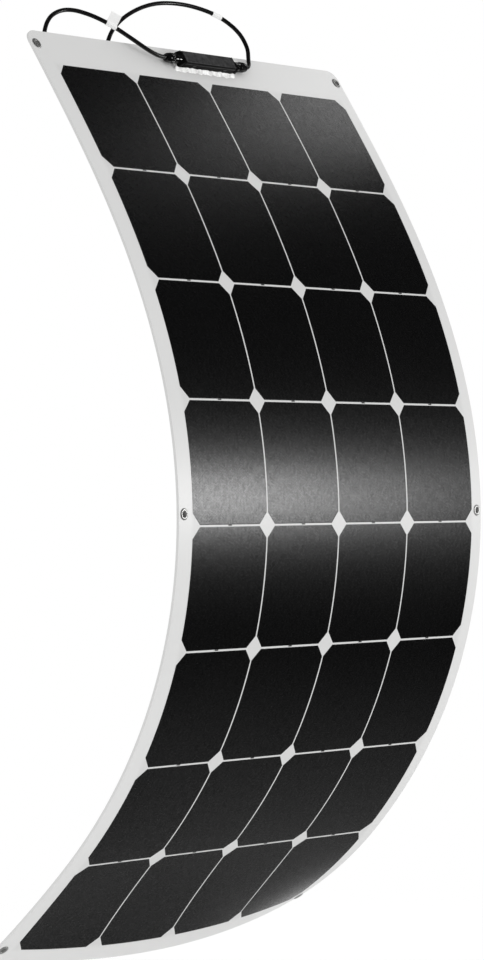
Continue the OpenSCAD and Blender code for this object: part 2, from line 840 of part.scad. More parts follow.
module connector_contacts() {
    color("goldenrod") {
        hang(left_coil)
            translate([0, 0, 0.1])
                cylinder(r = contact_r, h = nose_z + 10);
        hang(right_coil)
            translate([0, 0, 0.1])
                difference() {
                    cylinder(r = contact_r + 0.4, h = nose_z + 8);
                    translate([0, 0, nose_z]) cylinder(r = contact_r, h = 10);
                }
    }
}

back_sheet(0);  // back_sheet_top
back_sheet(1);  // back_sheet_upper
back_sheet(2);  // back_sheet_middle
back_sheet(3);  // back_sheet_lower
back_sheet(4);  // back_sheet_bottom
encapsulant(0);  // encapsulant_top
encapsulant(1);  // encapsulant_upper
encapsulant(2);  // encapsulant_middle
encapsulant(3);  // encapsulant_lower
encapsulant(4);  // encapsulant_bottom
cells(0);  // cells_top
cells(1);  // cells_upper
cells(2);  // cells_middle
cells(3);  // cells_lower
cells(4);  // cells_bottom
front_film(0);  // front_film_top
front_film(1);  // front_film_upper
front_film(2);  // front_film_middle
front_film(3);  // front_film_lower
front_film(4);  // front_film_bottom
flex_strip(1);  // flex_strip_1
flex_strip(3);  // flex_strip_3
flex_strip(5);  // flex_strip_5
flex_strip(7);  // flex_strip_7
cell_tabs(1);  // cell_tabs_1
cell_tabs(2);  // cell_tabs_2
cell_tabs(3);  // cell_tabs_3
cell_tabs(4);  // cell_tabs_4
cell_tabs(5);  // cell_tabs_5
cell_tabs(6);  // cell_tabs_6
cell_tabs(7);  // cell_tabs_7
bus_ribbons_top();
bus_ribbons_bottom();
eyelets(0);  // eyelets_top
eyelets(2);  // eyelets_middle
eyelets(4);  // eyelets_bottom
box_sealant();
box_base();
box_gasket();
box_lid();
bypass_diodes();
box_terminals();
gland_seals();
gland_nut_left();
gland_nut_right();
lead(left_route);  // lead_left
lead(right_route);  // lead_right
coil(left_coil);  // coil_left
coil(right_coil);  // coil_right
coil_ties();
flag_label();
sleeve_label();
plug_body();
plug_nut();
socket_body();
socket_nut();
connector_contacts();
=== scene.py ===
"""Looks of a flexible solar sheet: a white laminate with dark cells, a junction box and two leads."""

import json
import math
from typing import NamedTuple

import bmesh
import bpy
import numpy as np
from bpy.props import FloatProperty, FloatVectorProperty, PointerProperty
from mathutils import Matrix, Vector
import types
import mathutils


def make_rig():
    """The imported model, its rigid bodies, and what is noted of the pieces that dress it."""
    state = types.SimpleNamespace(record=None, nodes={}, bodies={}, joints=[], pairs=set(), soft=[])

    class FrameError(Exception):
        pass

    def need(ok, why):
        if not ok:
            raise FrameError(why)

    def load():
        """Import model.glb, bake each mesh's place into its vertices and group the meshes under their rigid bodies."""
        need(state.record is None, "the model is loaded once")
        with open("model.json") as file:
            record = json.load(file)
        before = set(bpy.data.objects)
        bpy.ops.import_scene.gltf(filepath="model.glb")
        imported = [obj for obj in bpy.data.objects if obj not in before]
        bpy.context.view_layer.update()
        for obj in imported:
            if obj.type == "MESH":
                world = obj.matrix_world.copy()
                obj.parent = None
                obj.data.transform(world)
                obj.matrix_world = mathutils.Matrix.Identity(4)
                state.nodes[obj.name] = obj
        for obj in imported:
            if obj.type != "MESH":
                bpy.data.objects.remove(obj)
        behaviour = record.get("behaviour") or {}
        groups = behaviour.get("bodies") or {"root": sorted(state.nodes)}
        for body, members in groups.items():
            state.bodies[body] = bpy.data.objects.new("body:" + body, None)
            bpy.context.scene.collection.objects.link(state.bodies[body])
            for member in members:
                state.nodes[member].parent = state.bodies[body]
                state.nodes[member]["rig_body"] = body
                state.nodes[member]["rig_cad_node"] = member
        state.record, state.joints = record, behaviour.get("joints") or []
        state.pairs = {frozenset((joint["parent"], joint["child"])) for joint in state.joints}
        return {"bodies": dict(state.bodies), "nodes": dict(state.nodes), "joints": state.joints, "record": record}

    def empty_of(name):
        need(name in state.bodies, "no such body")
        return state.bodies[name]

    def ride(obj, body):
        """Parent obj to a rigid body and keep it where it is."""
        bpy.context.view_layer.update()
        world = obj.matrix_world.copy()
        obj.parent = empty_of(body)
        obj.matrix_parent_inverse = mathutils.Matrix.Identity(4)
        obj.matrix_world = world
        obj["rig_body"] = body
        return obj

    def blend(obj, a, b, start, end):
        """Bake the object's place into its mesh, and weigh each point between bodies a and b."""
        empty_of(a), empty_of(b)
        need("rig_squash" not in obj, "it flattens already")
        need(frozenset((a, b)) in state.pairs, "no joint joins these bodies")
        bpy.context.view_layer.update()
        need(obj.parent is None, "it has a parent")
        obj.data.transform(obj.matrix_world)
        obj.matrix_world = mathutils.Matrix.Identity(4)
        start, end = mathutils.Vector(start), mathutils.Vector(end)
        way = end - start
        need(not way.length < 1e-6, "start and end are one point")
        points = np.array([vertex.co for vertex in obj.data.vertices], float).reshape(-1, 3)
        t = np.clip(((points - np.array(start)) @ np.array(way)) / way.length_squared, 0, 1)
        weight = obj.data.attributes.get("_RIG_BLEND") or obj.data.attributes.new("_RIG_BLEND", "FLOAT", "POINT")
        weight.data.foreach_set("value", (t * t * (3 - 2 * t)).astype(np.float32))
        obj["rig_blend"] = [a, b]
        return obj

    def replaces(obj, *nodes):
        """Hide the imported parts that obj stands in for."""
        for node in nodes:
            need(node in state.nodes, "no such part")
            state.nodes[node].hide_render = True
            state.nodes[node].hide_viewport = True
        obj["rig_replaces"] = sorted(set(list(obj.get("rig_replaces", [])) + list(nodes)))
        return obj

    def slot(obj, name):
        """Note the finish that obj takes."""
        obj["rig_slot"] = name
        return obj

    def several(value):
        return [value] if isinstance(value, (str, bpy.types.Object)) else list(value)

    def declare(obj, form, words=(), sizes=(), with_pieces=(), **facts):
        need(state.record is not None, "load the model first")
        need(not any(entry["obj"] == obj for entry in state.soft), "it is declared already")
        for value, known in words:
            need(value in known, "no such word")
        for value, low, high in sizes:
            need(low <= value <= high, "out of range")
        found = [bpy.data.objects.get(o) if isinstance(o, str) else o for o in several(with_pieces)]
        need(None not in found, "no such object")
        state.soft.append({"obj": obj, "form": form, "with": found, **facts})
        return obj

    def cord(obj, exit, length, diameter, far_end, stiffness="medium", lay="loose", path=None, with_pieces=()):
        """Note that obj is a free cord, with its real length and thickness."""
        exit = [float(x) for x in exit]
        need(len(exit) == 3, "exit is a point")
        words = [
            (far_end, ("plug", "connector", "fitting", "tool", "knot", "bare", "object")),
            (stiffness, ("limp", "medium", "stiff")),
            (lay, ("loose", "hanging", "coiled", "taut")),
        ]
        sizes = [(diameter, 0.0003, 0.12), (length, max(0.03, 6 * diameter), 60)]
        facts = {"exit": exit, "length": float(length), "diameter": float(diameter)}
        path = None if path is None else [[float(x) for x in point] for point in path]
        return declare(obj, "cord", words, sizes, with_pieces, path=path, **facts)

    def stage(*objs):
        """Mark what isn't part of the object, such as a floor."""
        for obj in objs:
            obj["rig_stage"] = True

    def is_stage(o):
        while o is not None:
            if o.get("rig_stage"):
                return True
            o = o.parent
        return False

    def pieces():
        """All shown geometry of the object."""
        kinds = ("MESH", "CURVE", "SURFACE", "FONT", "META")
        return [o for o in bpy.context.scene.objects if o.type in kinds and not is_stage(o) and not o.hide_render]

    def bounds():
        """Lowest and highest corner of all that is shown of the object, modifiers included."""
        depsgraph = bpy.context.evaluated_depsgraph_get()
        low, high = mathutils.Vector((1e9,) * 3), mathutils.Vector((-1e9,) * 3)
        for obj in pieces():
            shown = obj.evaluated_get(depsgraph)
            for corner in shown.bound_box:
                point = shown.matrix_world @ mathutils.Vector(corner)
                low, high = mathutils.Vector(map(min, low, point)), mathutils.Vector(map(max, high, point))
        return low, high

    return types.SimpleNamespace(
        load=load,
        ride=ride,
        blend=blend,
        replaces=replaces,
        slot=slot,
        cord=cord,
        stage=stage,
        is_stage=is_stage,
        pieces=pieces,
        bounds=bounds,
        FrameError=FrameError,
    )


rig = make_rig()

bl_info = {
    "name": "Flexible Solar Sheet",
    "version": (1, 0, 0),
    "blender": (4, 5, 0),
    "location": "3D View > Sidebar > Solar Sheet",
    "description": "Dresses the packed frame of a bowed solar sheet with a junction box and two leads",
    "category": "Object",
}

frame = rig.load()
cad_box = [list(corner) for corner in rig.bounds()]

MM = 0.001
ROWS, COLUMNS = 8, 4
FRONT = 3.0 * MM  # front of the cells over the back face
TOP_EYELET = 0.52  # top and bottom eyelets from the side ones, along the sheet
HOLE_R = 3.5 * MM  # holes for the eyelets
SLANT = 0.414  # root of two less one: how far an inset moves the start of a cell's cut corner
RISE_GAP = 0.8 * MM  # from the last row line down to where the bottom edge starts to rise
BOW_REACH, BOW_STEPS = 0.56, 2240  # length and count of the steps that the bow is summed over, each way
SEAL_T = 0.6 * MM  # bed of sealant under the box
END_GAP, END_BLOCK, NUT_GAP = 0.3 * MM, 5 * MM, 2.7 * MM  # along a lead from the lid to its gland nut
IN_NUT = 14 * MM  # length of a lead inside its gland nut
LEAD_PLAY = 0.25 * MM  # room round a lead in a neck or a gland nut
COIL_GAP = 0.6 * MM  # between neighbouring turns of a coil
TAPE_L = 13 * MM  # length of a label along its lead
FLAG_UP = np.array([0.23, -0.44, 0.87])  # way that the flag label stands out from its lead
FLATTENED = 75 * MM  # reach of the flattened sheet below the bowed one
FLOOR_R = 1.5  # radius of the floor
SHARP = 0.05 * MM  # smallest radius of a corner


def length(name, description, default):
    """Setting for a length in metres."""
    return FloatProperty(
        name=name, description=description, default=default, precision=4, subtype="DISTANCE", unit="LENGTH"
    )


def degrees(name, description, default):
    """Setting for an angle, given in degrees."""
    return FloatProperty(name=name, description=description, default=math.radians(default), subtype="ANGLE")


def number(name, description, default):
    """Setting for a plain number."""
    return FloatProperty(name=name, description=description, default=default)


def colour(name, description, default):
    """Setting for a linear colour."""
    return FloatVectorProperty(
        name=name, description=description, default=default, size=3, min=0, max=1, subtype="COLOR"
    )


class SheetSizes(bpy.types.PropertyGroup):
    """Sizes of the laminate, its bow and its cells."""

    width: length("Width", "Width across the sheet", 0.547)
    length: length("Length", "Length along the bow", 1.074)
    corner: length("Corner", "Radius of the outer corners", 0.014)
    bow_radius: length("Bow radius", "Tightest radius of the bow", 0.496)
    bow_peak: length("Bow place", "Place of the tightest radius along the sheet", -0.155)
    bow_fade: length("Bow fade", "Length over which the bow fades to straight", 0.675)
    bulge: length("Bulge", "Forward bulge of the middle of the bottom edge", 0.026)
    twist: length("Twist", "Turn of the bottom edge's left corner forward and its right one back", 0.0085)
    cell: length("Cell", "Side of one cell", 0.125)
    gap: length("Gap", "Gap between neighbouring cells", 0.002)
    cut: length("Cut", "Leg of the cut across a cell's corner", 0.012)
    cells_right: length("Cells right", "Shift of the cells to the right", 0.0023)
    cells_down: length("Cells down", "Shift of the cells below the middle", 0.012)
    eyelet_span: length("Eyelet span", "Distance between left and right eyelets", 0.53)


class BoxSizes(bpy.types.PropertyGroup):
    """Sizes of the junction box and its gland nuts."""

    right: length("Right", "Shift of the box to the right of the middle", 0.014)
    down: length("Down", "Distance of the box below the top eyelets", 0.001)
    lid: length("Lid", "Length of the lid", 0.09)
    breadth: length("Breadth", "Breadth of the box along the sheet", 0.016)
    height: length("Height", "Height to the top of the lid", 0.0114)
    wall: length("Wall", "Height of the side walls", 0.007)
    lead_height: length("Lead height", "Height of the leads' axis above the underside", 0.0054)
    nut: length("Nut", "Length of a gland nut", 0.018)


class LeadSizes(bpy.types.PropertyGroup):
    """Sizes of the leads and their coils."""

    diameter: length("Diameter", "Outer diameter of a lead", 0.0046)
    left_coil: length("Left coil", "Outer radius of the left coil's winding", 0.0306)
    right_coil: length("Right coil", "Outer radius of the right coil's winding", 0.0275)
    turns: number("Turns", "Turns in each coil", 3.25)
    tail: length("Tail", "Straight length from a coil to its connector", 0.026)


class SheetColours(bpy.types.PropertyGroup):
    """Colours of the finishes."""

    laminate: colour("Laminate", "Off-white film and carrier", (0.7, 0.7, 0.695))
    silicon: colour("Silicon", "Near-black cells", (0.0012, 0.0012, 0.0013))
    plating: colour("Plating", "Bright plated eyelets", (0.68, 0.68, 0.67))
    box: colour("Box", "Black moulded plastic", (0.003, 0.003, 0.0031))
    lid: colour("Lid", "Dark grey lid", (0.036, 0.036, 0.037))
    jacket: colour("Jacket", "Black lead jacket", (0.0035, 0.0035, 0.0035))
    label: colour("Label", "Blank white tape", (0.95, 0.95, 0.945))
    sealant: colour("Sealant", "White silicone", (0.9, 0.9, 0.89))
    brass: colour("Brass", "Contacts and terminals", (0.62, 0.46, 0.2))
    tinned: colour("Tinned", "Tabs between the cells", (0.1, 0.1, 0.1))
    seal: colour("Seal", "Black rubber of the seals", (0.03, 0.03, 0.03))
    floor: colour("Floor", "Pale floor", (0.82, 0.82, 0.82))


class Studio(bpy.types.PropertyGroup):
    """Camera, lamps and the light of the room."""

    azimuth: degrees("Azimuth", "Camera's bearing", -53.5943)
    elevation: degrees("Elevation", "Camera's height angle", -0.2445)
    roll: degrees("Roll", "Camera's roll", -0.4918)
    distance: length("Distance", "Camera's distance from its target", 4.2068)
    aim_right: length("Aim right", "Target's shift to the right in the picture", -0.0975)
    aim_up: length("Aim up", "Target's shift up in the picture", 0.0335)
    lens: number("Lens", "Focal length in millimetres", 151.142)
    strip_power: number("Strip", "Low strip lamp's power", 19.8)
    top_power: number("Top", "High lamp's power", 0.53)
    ambient: number("Ambient", "Even light from all round", 0.88)
    room: number("Room", "Brightness of the room that gloss shows", 0.02)


# Shader expressions


class Value:
    """A shader socket. Arithmetic on it adds Math nodes to the finish's tree."""

    def __init__(self, finish, socket):
        self.finish, self.socket = finish, socket

    def math(self, operation, *values):
        return self.finish.node("ShaderNodeMath", {"operation": operation}, dict(enumerate(values)))

    def __add__(self, other):
        return self.math("ADD", self, other)

    def __radd__(self, other):
        return self.math("ADD", other, self)

    def __sub__(self, other):
        return self.math("SUBTRACT", self, other)

    def __rsub__(self, other):
        return self.math("SUBTRACT", other, self)

    def __mul__(self, other):
        return self.math("MULTIPLY", self, other)

    def __rmul__(self, other):
        return self.math("MULTIPLY", other, self)

    def __pow__(self, other):
        return self.math("POWER", self, other)

    def sine(self):
        return self.math("SINE", self)

    def most(self, other):
        return self.math("MAXIMUM", self, other)

    def ramp(self, low, high):
        """Share of the way from low to high, kept between 0 and 1."""
        return self.finish.node(
            "ShaderNodeMapRange", {"clamp": True}, {"Value": self, "From Min": low, "From Max": high}
        )


class Finish:
    """A material, or a world, that is built from nodes."""

    def __init__(self, name, owner=None):
        self.owner = owner or bpy.data.materials.new(name)
        self.owner.use_nodes = True
        self.tree = self.owner.node_tree
        self.tree.nodes.clear()

    def node(self, kind, settings=None, sockets=None, output=0):
        """Adds a node and gives back an output. Settings are set first, then sockets by name or number."""
        made = self.tree.nodes.new(kind)
        for key, value in (settings or {}).items():
            setattr(made, key, value)
        for key, value in (sockets or {}).items():
            if isinstance(value, Value):
                self.tree.links.new(value.socket, made.inputs[key])
            else:
                made.inputs[key].default_value = value
        return Value(self, made.outputs[output])

    def place(self, scale, turn=(0, 0, 0), by_uv=False):
        """Object coordinates, or the sheet's own map in metres, stretched by scale."""
        source = self.node("ShaderNodeTexCoord", output="UV" if by_uv else "Object")
        return self.node("ShaderNodeMapping", {}, {"Vector": source, "Scale": scale, "Rotation": turn})

    def across(self, axis):
        """One coordinate of the sheet's own map, in metres."""
        source = self.node("ShaderNodeTexCoord", output="UV")
        return self.node("ShaderNodeSeparateXYZ", {}, {0: source}, axis)

    def noise(self, scale, detail, roughness=0.5, turn=0.0, by_uv=False):
        """Noise at a place stretched by one scale or by three, and turned about the third axis."""
        scales = scale if isinstance(scale, tuple) else (scale,) * 3
        place = self.place(scales, (0, 0, turn), by_uv)
        sockets = {"Vector": place, "Scale": 1.0, "Detail": detail, "Roughness": roughness}
        return self.node("ShaderNodeTexNoise", {}, sockets)

    def tint(self, base, dark, light, share):
        """Base colour times a number that goes from dark to light with share."""
        low = (*[c * dark for c in base], 1)
        high = (*[c * light for c in base], 1)
        return self.node("ShaderNodeMix", {"data_type": "RGBA"}, {0: share, 6: low, 7: high}, 2)

    def bump(self, height, strength, distance):
        return self.node("ShaderNodeBump", {}, {"Height": height, "Strength": strength, "Distance": distance})

    def surface(self, **sockets):
        """Principled surface. Underscores in names stand for spaces."""
        named = {key.replace("_", " "): value for key, value in sockets.items()}
        shader = self.node("ShaderNodeBsdfPrincipled", {}, named)
        self.output(shader)
        return self.owner

    def output(self, shader):
        """Ends the tree with a shader."""
        kind = "World" if isinstance(self.owner, bpy.types.World) else "Material"
        made = self.tree.nodes.new(f"ShaderNodeOutput{kind}")
        self.tree.links.new(shader.socket, made.inputs["Surface"])


_finishes = {}


def finish(name):
    """The named finish, made the first time that it is asked for."""
    if name not in _finishes:
        _finishes[name] = FINISHES[name](bpy.context.scene.sheet_colours)
    return _finishes[name]


def laminate_finish(c):
    """Satin white film with a fine pressed weave and faint clouding. It is a little darker among the
    cells than in the margins: the field is where the squares of the distances from its middle are small."""
    f = Finish("white laminate")
    cloud = f.noise(9, 3.0, by_uv=True)
    s = bpy.context.scene.sheet_sizes

    def outside(axis, middle, count):
        inner, outer = ((count / 2 + part) * (s.cell + s.gap) for part in (-0.03, 0.02))
        return ((f.across(axis) - middle) ** 2).ramp(inner**2, outer**2)

    margin = outside(0, s.cells_right, COLUMNS).most(outside(1, -s.cells_down, ROWS))
    fibre = f.noise((900, 260, 1), 2.0, by_uv=True)
    weave = (f.across(0) * 3900).sine() * (f.across(1) * 3900).sine()
    height = weave * 0.35 + fibre * 0.65
    return f.surface(
        Base_Color=f.tint(c.laminate, 0.9, 1.02, cloud * 0.35 + margin * 0.65),
        Roughness=0.3 + fibre * 0.1,
        Normal=f.bump(height, 0.12, 0.00012),
        Specular_IOR_Level=0.25,
    )


def silicon_finish(c):
    """Near-black cell under a clear film with a fine pressed weave and fibres along the sheet."""
    f = Finish("dark silicon")
    fibre = f.noise((330, 100, 1), 1.0, by_uv=True)
    speck = f.noise((250, 400, 1), 2.0, turn=0.5, by_uv=True)
    patch = f.noise((14, 10, 1), 2.0, by_uv=True)
    drift = f.noise((110, 60, 1), 1.0, turn=0.9, by_uv=True) * 8
    weave = (f.across(0) * 1350 + drift).sine() * (f.across(1) * 1900 + drift).sine()
    height = weave * 0.35 + fibre * 0.6 + speck * 0.5
    return f.surface(
        Base_Color=f.tint(c.silicon, 0.7, 1.35, patch),
        Roughness=0.24 + speck * 0.06,
        Normal=f.bump(height, 0.25, 0.00025),
        Specular_IOR_Level=0.06,
        Coat_Weight=speck * 0.65 + fibre * 0.65 + weave * 0.11 + patch * 0.1 - 0.2,
        Coat_Roughness=0.27,
    )


def plating_finish(c):
    """Bright plated metal with a fine grain and dull spots."""
    f = Finish("bright plating")
    spots = f.noise(700, 3.0)
    grain = f.noise(4000, 1.0)
    return f.surface(
        Base_Color=f.tint(c.plating, 0.8, 1.05, spots),
        Metallic=0.92,
        Roughness=0.33 + spots * 0.14,
        Normal=f.bump(grain, 0.08, 0.00005),
    )


def moulded(name, base, rough, shine, coarse):
    """Moulded plastic with a fine spark-eroded grain and slight scuffs."""
    f = Finish(name)
    grain = f.noise(2200, 2.0)
    scuff = f.noise(60, 4.0)
    return f.surface(
        Base_Color=f.tint(base, 0.85, 1.2, scuff),
        Roughness=rough + scuff * 0.12,
        Normal=f.bump(grain, coarse, 0.00008),
        Specular_IOR_Level=shine,
    )


def lid_finish(c):
    """Dark lid whose flat top is painted a lighter, mottled grey and whose sides are painted near black. This is
    painted light on the top and painted shade on the sides, as light from above falls on them; the mottle varies the
    top at random. Its map's second place is the height over the box's underside."""
    f = Finish("dark grey plastic")
    height = bpy.context.scene.box_sizes.height
    grain = f.noise(1600, 2.0)
    mottle = f.noise(230, 4.0, 0.65)
    top = f.across(1).ramp(height - 0.5 * MM, height - 0.1 * MM)
    # painted light and shade: the top face is painted lighter and the rest near black, with a random mottle over the
    # top
    painted_top_light = top * mottle.ramp(0.3, 0.75)
    return f.surface(
        Base_Color=f.tint(c.lid, 0.08, 1.95, painted_top_light),
        Roughness=0.3 + top * 0.16 + mottle * 0.1,
        Normal=f.bump(grain, 0.3, 0.00012),
        Specular_IOR_Level=0.22,
    )


def jacket_finish(c):
    """Satin black jacket with a faint grain and handling dust."""
    f = Finish("lead jacket")
    dust = f.noise(90, 3.0)
    grain = f.noise(1500, 1.0)
    return f.surface(
        Base_Color=f.tint(c.jacket, 0.8, 1.5, dust),
        Roughness=0.2 + dust * 0.1,
        Normal=f.bump(grain, 0.06, 0.00006),
        Specular_IOR_Level=0.36,
    )


def label_finish(c):
    """Blank white tape with a soft fibre."""
    f = Finish("blank tape")
    fibre = f.noise(900, 3.0)
    return f.surface(
        Base_Color=f.tint(c.label, 0.93, 1.03, fibre),
        Roughness=0.5 + fibre * 0.15,
        Normal=f.bump(fibre, 0.15, 0.00008),
    )


def sealant_finish(c):
    """White silicone, smoothed by hand, painted darker in its hollows and lighter on its lumps. This is painted shade
    and painted highlights that follow the same noise as its bumps.
    """
    f = Finish("white sealant")
    lump = f.noise(240, 3.0)
    return f.surface(
        # painted light and shade: the colour rises with the bump's lump noise, lighter on lumps and darker in hollows
        Base_Color=f.tint(c.sealant, 0.78, 1.1, lump.ramp(0.3, 0.6)),
        Roughness=0.22 + lump * 0.2,
        Normal=f.bump(lump, 0.5, 0.0006),
        Specular_IOR_Level=0.5,
    )


def metal(name, base, rough):
    """Bare metal with some tarnish."""
    f = Finish(name)
    tarnish = f.noise(350, 3.0)
    return f.surface(
        Base_Color=f.tint(base, 0.75, 1.1, tarnish), Metallic=1.0, Roughness=rough + tarnish * 0.15
    )


def seal_finish(c):
    """Matt black rubber with a fine bloom."""
    f = Finish("seal rubber")
    bloom = f.noise(500, 3.0)
    return f.surface(Base_Color=f.tint(c.seal, 0.8, 1.3, bloom), Roughness=0.7 + bloom * 0.15)


FINISHES = {
    "laminate": laminate_finish,
    "silicon": silicon_finish,
    "plating": plating_finish,
    "box": lambda c: moulded("black plastic", c.box, 0.5, 0.08, 0.18),
    "gloss": lambda c: moulded("glossy black plastic", c.box, 0.04, 0.45, 0.02),
    "lid": lid_finish,
    "jacket": jacket_finish,
    "label": label_finish,
    "sealant": sealant_finish,
    "brass": lambda c: metal("brass", c.brass, 0.25),
    "tinned": lambda c: metal("tinned tab", c.tinned, 0.35),
    "seal": seal_finish,
}


# Surfaces


def grid_faces(rows, columns, around):
    """Four-sided faces that join neighbours in a grid of numbered points. A grid that goes around
    joins its last column to its first."""
    index = np.arange(rows * columns).reshape(rows, columns)
    if around:
        index = np.hstack([index, index[:, :1]])
    corners = [index[:-1, :-1], index[:-1, 1:], index[1:, 1:], index[1:, :-1]]
    return np.stack(corners, -1).reshape(-1, 4)


def make_piece(name, shells, finish_name, slot, sharp=35.0):
    """Mesh object from shells. Each is a grid of points that goes around, or such a grid with whether
    it goes around and its map places. Points that meet are merged and the faces are turned outwards."""
    points, faces, places, start = [], [], [], 0
    for shell in shells:
        grid, around, place = shell if isinstance(shell, tuple) else (shell, True, None)
        rows, columns = grid.shape[:2]
        faces.append(start + grid_faces(rows, columns, around))
        points.append(grid.reshape(-1, 3))
        places.append(np.zeros((rows * columns, 2)) if place is None else place.reshape(-1, 2))
        start += rows * columns
    points, faces, places = (np.concatenate(a) for a in (points, faces, places))
    mesh = bpy.data.meshes.new(name)
    mesh.from_pydata(points.tolist(), [], faces.tolist())
    layer = mesh.uv_layers.new(name="sheet")
    layer.uv.foreach_set("vector", places[faces.ravel()].astype(np.float32).ravel())
    work = bmesh.new()
    work.from_mesh(mesh)
    bmesh.ops.remove_doubles(work, verts=work.verts, dist=2e-6)
    bmesh.ops.recalc_face_normals(work, faces=work.faces)
    work.to_mesh(mesh)
    work.free()
    mesh.polygons.foreach_set("use_smooth", np.ones(len(mesh.polygons), bool))
    mesh.set_sharp_from_angle(angle=math.radians(sharp))
    mesh.materials.append(finish(finish_name))
    piece = bpy.data.objects.new(name, mesh)
    bpy.context.scene.collection.objects.link(piece)
    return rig.slot(piece, slot)


def dress(node_name, finish_name):
    """Gives a node that is shown as the CAD made it its finish."""
    materials = frame["nodes"][node_name].data.materials
    materials.clear()
    materials.append(finish(finish_name))


def bow(s, u):
    """Lean of the sheet, and y and z of its back face, at lengths u from the side eyelets.
    The lean is a sine of the distance from the tightest place. Its sine and cosine, summed
    along the sheet, are y and z."""
    steps = np.linspace(-BOW_REACH, BOW_REACH, 2 * BOW_STEPS + 1)

    def faded(v):
        return np.sin(math.pi / 2 * np.clip((v - s.bow_peak) / s.bow_fade, -1, 1))

    leans = 2 * s.bow_fade / s.bow_radius / math.pi * (faded(steps) - faded(0.0))
    run = np.stack([np.sin(leans), np.cos(leans)])
    sums = np.zeros_like(run)
    sums[:, 1:] = np.cumsum((run[:, 1:] + run[:, :-1]) / 2, axis=1) * (steps[1] - steps[0])
    sums -= sums[:, [BOW_STEPS]]
    return np.interp(u, steps, leans), np.interp(u, steps, sums[0]), np.interp(u, steps, sums[1])


def row_line(s, k):
    """Length along the sheet of the line below row k."""
    return (ROWS / 2 - k) * (s.cell + s.gap) - s.cells_down


def column_middle(s, column):
    """Place across the sheet of the middle of a column of cells."""
    return (column - (COLUMNS - 1) / 2) * (s.cell + s.gap) + s.cells_right


def sheet_point(s, x, u, d):
    """Points at places x across, lengths u and heights d over the back face. Below the last row
    line a rise is added that grows as a square down the sheet and is a parabola and a slope across it."""
    x, u, d = np.broadcast_arrays(np.asarray(x, float), np.asarray(u, float), np.asarray(d, float))
    lean, y, z = bow(s, u)
    start = row_line(s, ROWS - 1) - RISE_GAP
    share = np.clip((start - u) / (start + s.length / 2), 0, None)
    side = 2 * x / s.width
    rise = share**2 * (s.bulge * (1 - side**2) - s.twist * side)
    end = bow(s, -TOP_EYELET)[0]
    return np.stack(
        [x, y - d * np.cos(lean) - rise * np.cos(end), z + d * np.sin(lean) + rise * np.sin(end)], -1
    )


def sheet_frame(s, x, u):
    """Point on the back face and the axes there: across, up along the sheet and out of its front."""
    at = sheet_point(s, x, u, 0.0)
    across = sheet_point(s, x + MM, u, 0.0) - sheet_point(s, x - MM, u, 0.0)
    up = sheet_point(s, x, u + MM, 0.0) - sheet_point(s, x, u - MM, 0.0)
    across, up = across / np.linalg.norm(across), up / np.linalg.norm(up)
    out = np.cross(across, up)
    out /= np.linalg.norm(out)
    return at, np.stack([across, np.cross(out, across), out])


def border(grid):
    """Points round the edge of a grid, in order."""
    return np.concatenate([grid[0, :-1], grid[:-1, -1], grid[-1, :0:-1], grid[:0:-1, 0]])


def slab(s, outline, levels):
    """Closed slab on the sheet: its front and back are the outline's grid at the first and last
    levels, each an inset and a height, and its rim joins the borders of all levels in order."""
    grids, maps = [], []
    for inset, height in levels:
        x, u = outline(inset)
        grids.append(sheet_point(s, x, u, height))
        maps.append(np.stack([x, u], -1))
    rim = np.stack([border(g) for g in grids])
    rim_map = np.stack([border(m) for m in maps])
    return [(grids[0], False, maps[0]), (grids[-1], False, maps[-1]), (rim, True, rim_map)]


def spin(profile, sides=48, wave=None):
    """Rings of a turned shape from a profile of radius and height. A wave adds a share of the
    radius that changes with the height's place in the profile and the angle."""
    angle = np.arange(sides) * 2 * math.pi / sides
    radius = np.repeat(profile[:, :1], sides, 1)
    if wave is not None:
        radius = radius * (1 + wave(profile[:, 1:], angle[None, :]))
    height = np.repeat(profile[:, 1:], sides, 1)
    return np.stack([radius * np.cos(angle), radius * np.sin(angle), height], -1)


def rounded(points, radius, steps=4):
    """Profile with each inner corner of a line of points replaced by a short curve: a blend of the
    corner with points set back from it along both sides, by radius or a third of the side."""
    points = np.asarray(points, float)
    before, corner, after = points[:-2], points[1:-1], points[2:]
    back = before - corner
    ahead = after - corner
    back_l = np.linalg.norm(back, axis=1, keepdims=True)
    ahead_l = np.linalg.norm(ahead, axis=1, keepdims=True)
    a = corner + back / back_l * np.minimum(radius, back_l / 3)
    b = corner + ahead / ahead_l * np.minimum(radius, ahead_l / 3)
    t = np.linspace(0, 1, steps)[None, :, None]
    curve = (1 - t) ** 2 * a[:, None] + 2 * t * (1 - t) * corner[:, None] + t**2 * b[:, None]
    return np.concatenate([points[:1], curve.reshape(-1, points.shape[1]), points[-1:]])


def plan(l, w, radius, steps=5):
    """Rounded rectangle of length l and width w, and its outward directions, as a loop of points."""
    turn = np.linspace(0, math.pi / 2, steps)
    quarter = np.stack([np.cos(turn), np.sin(turn)], -1)
    ways = np.concatenate([quarter, quarter[::-1] * [-1, 1], -quarter, quarter[::-1] * [1, -1]])
    signs = np.repeat([[1, 1], [-1, 1], [-1, -1], [1, -1]], steps, 0)
    return signs * [l / 2 - radius, w / 2 - radius] + ways * radius, ways


def closed(loops, heights):
    """Loops set at heights as rings, with the first and the last closed on their middles."""
    rings = [np.column_stack([loop, np.full(len(loop), z)]) for loop, z in zip(loops, heights)]
    first, last = (np.zeros_like(rings[0]) + r.mean(0) for r in (rings[0], rings[-1]))
    return np.stack([first, *rings, last])


def stack(l, w, radius, levels):
    """Closed rings of a rounded rectangle, each moved in by an inset and set at a height. An inset
    takes its size off the corners' radius too."""
    loops = [plan(l - 2 * inset, w - 2 * inset, max(radius - inset, SHARP))[0] for inset, _ in levels]
    return closed(loops, [height for _, height in levels])


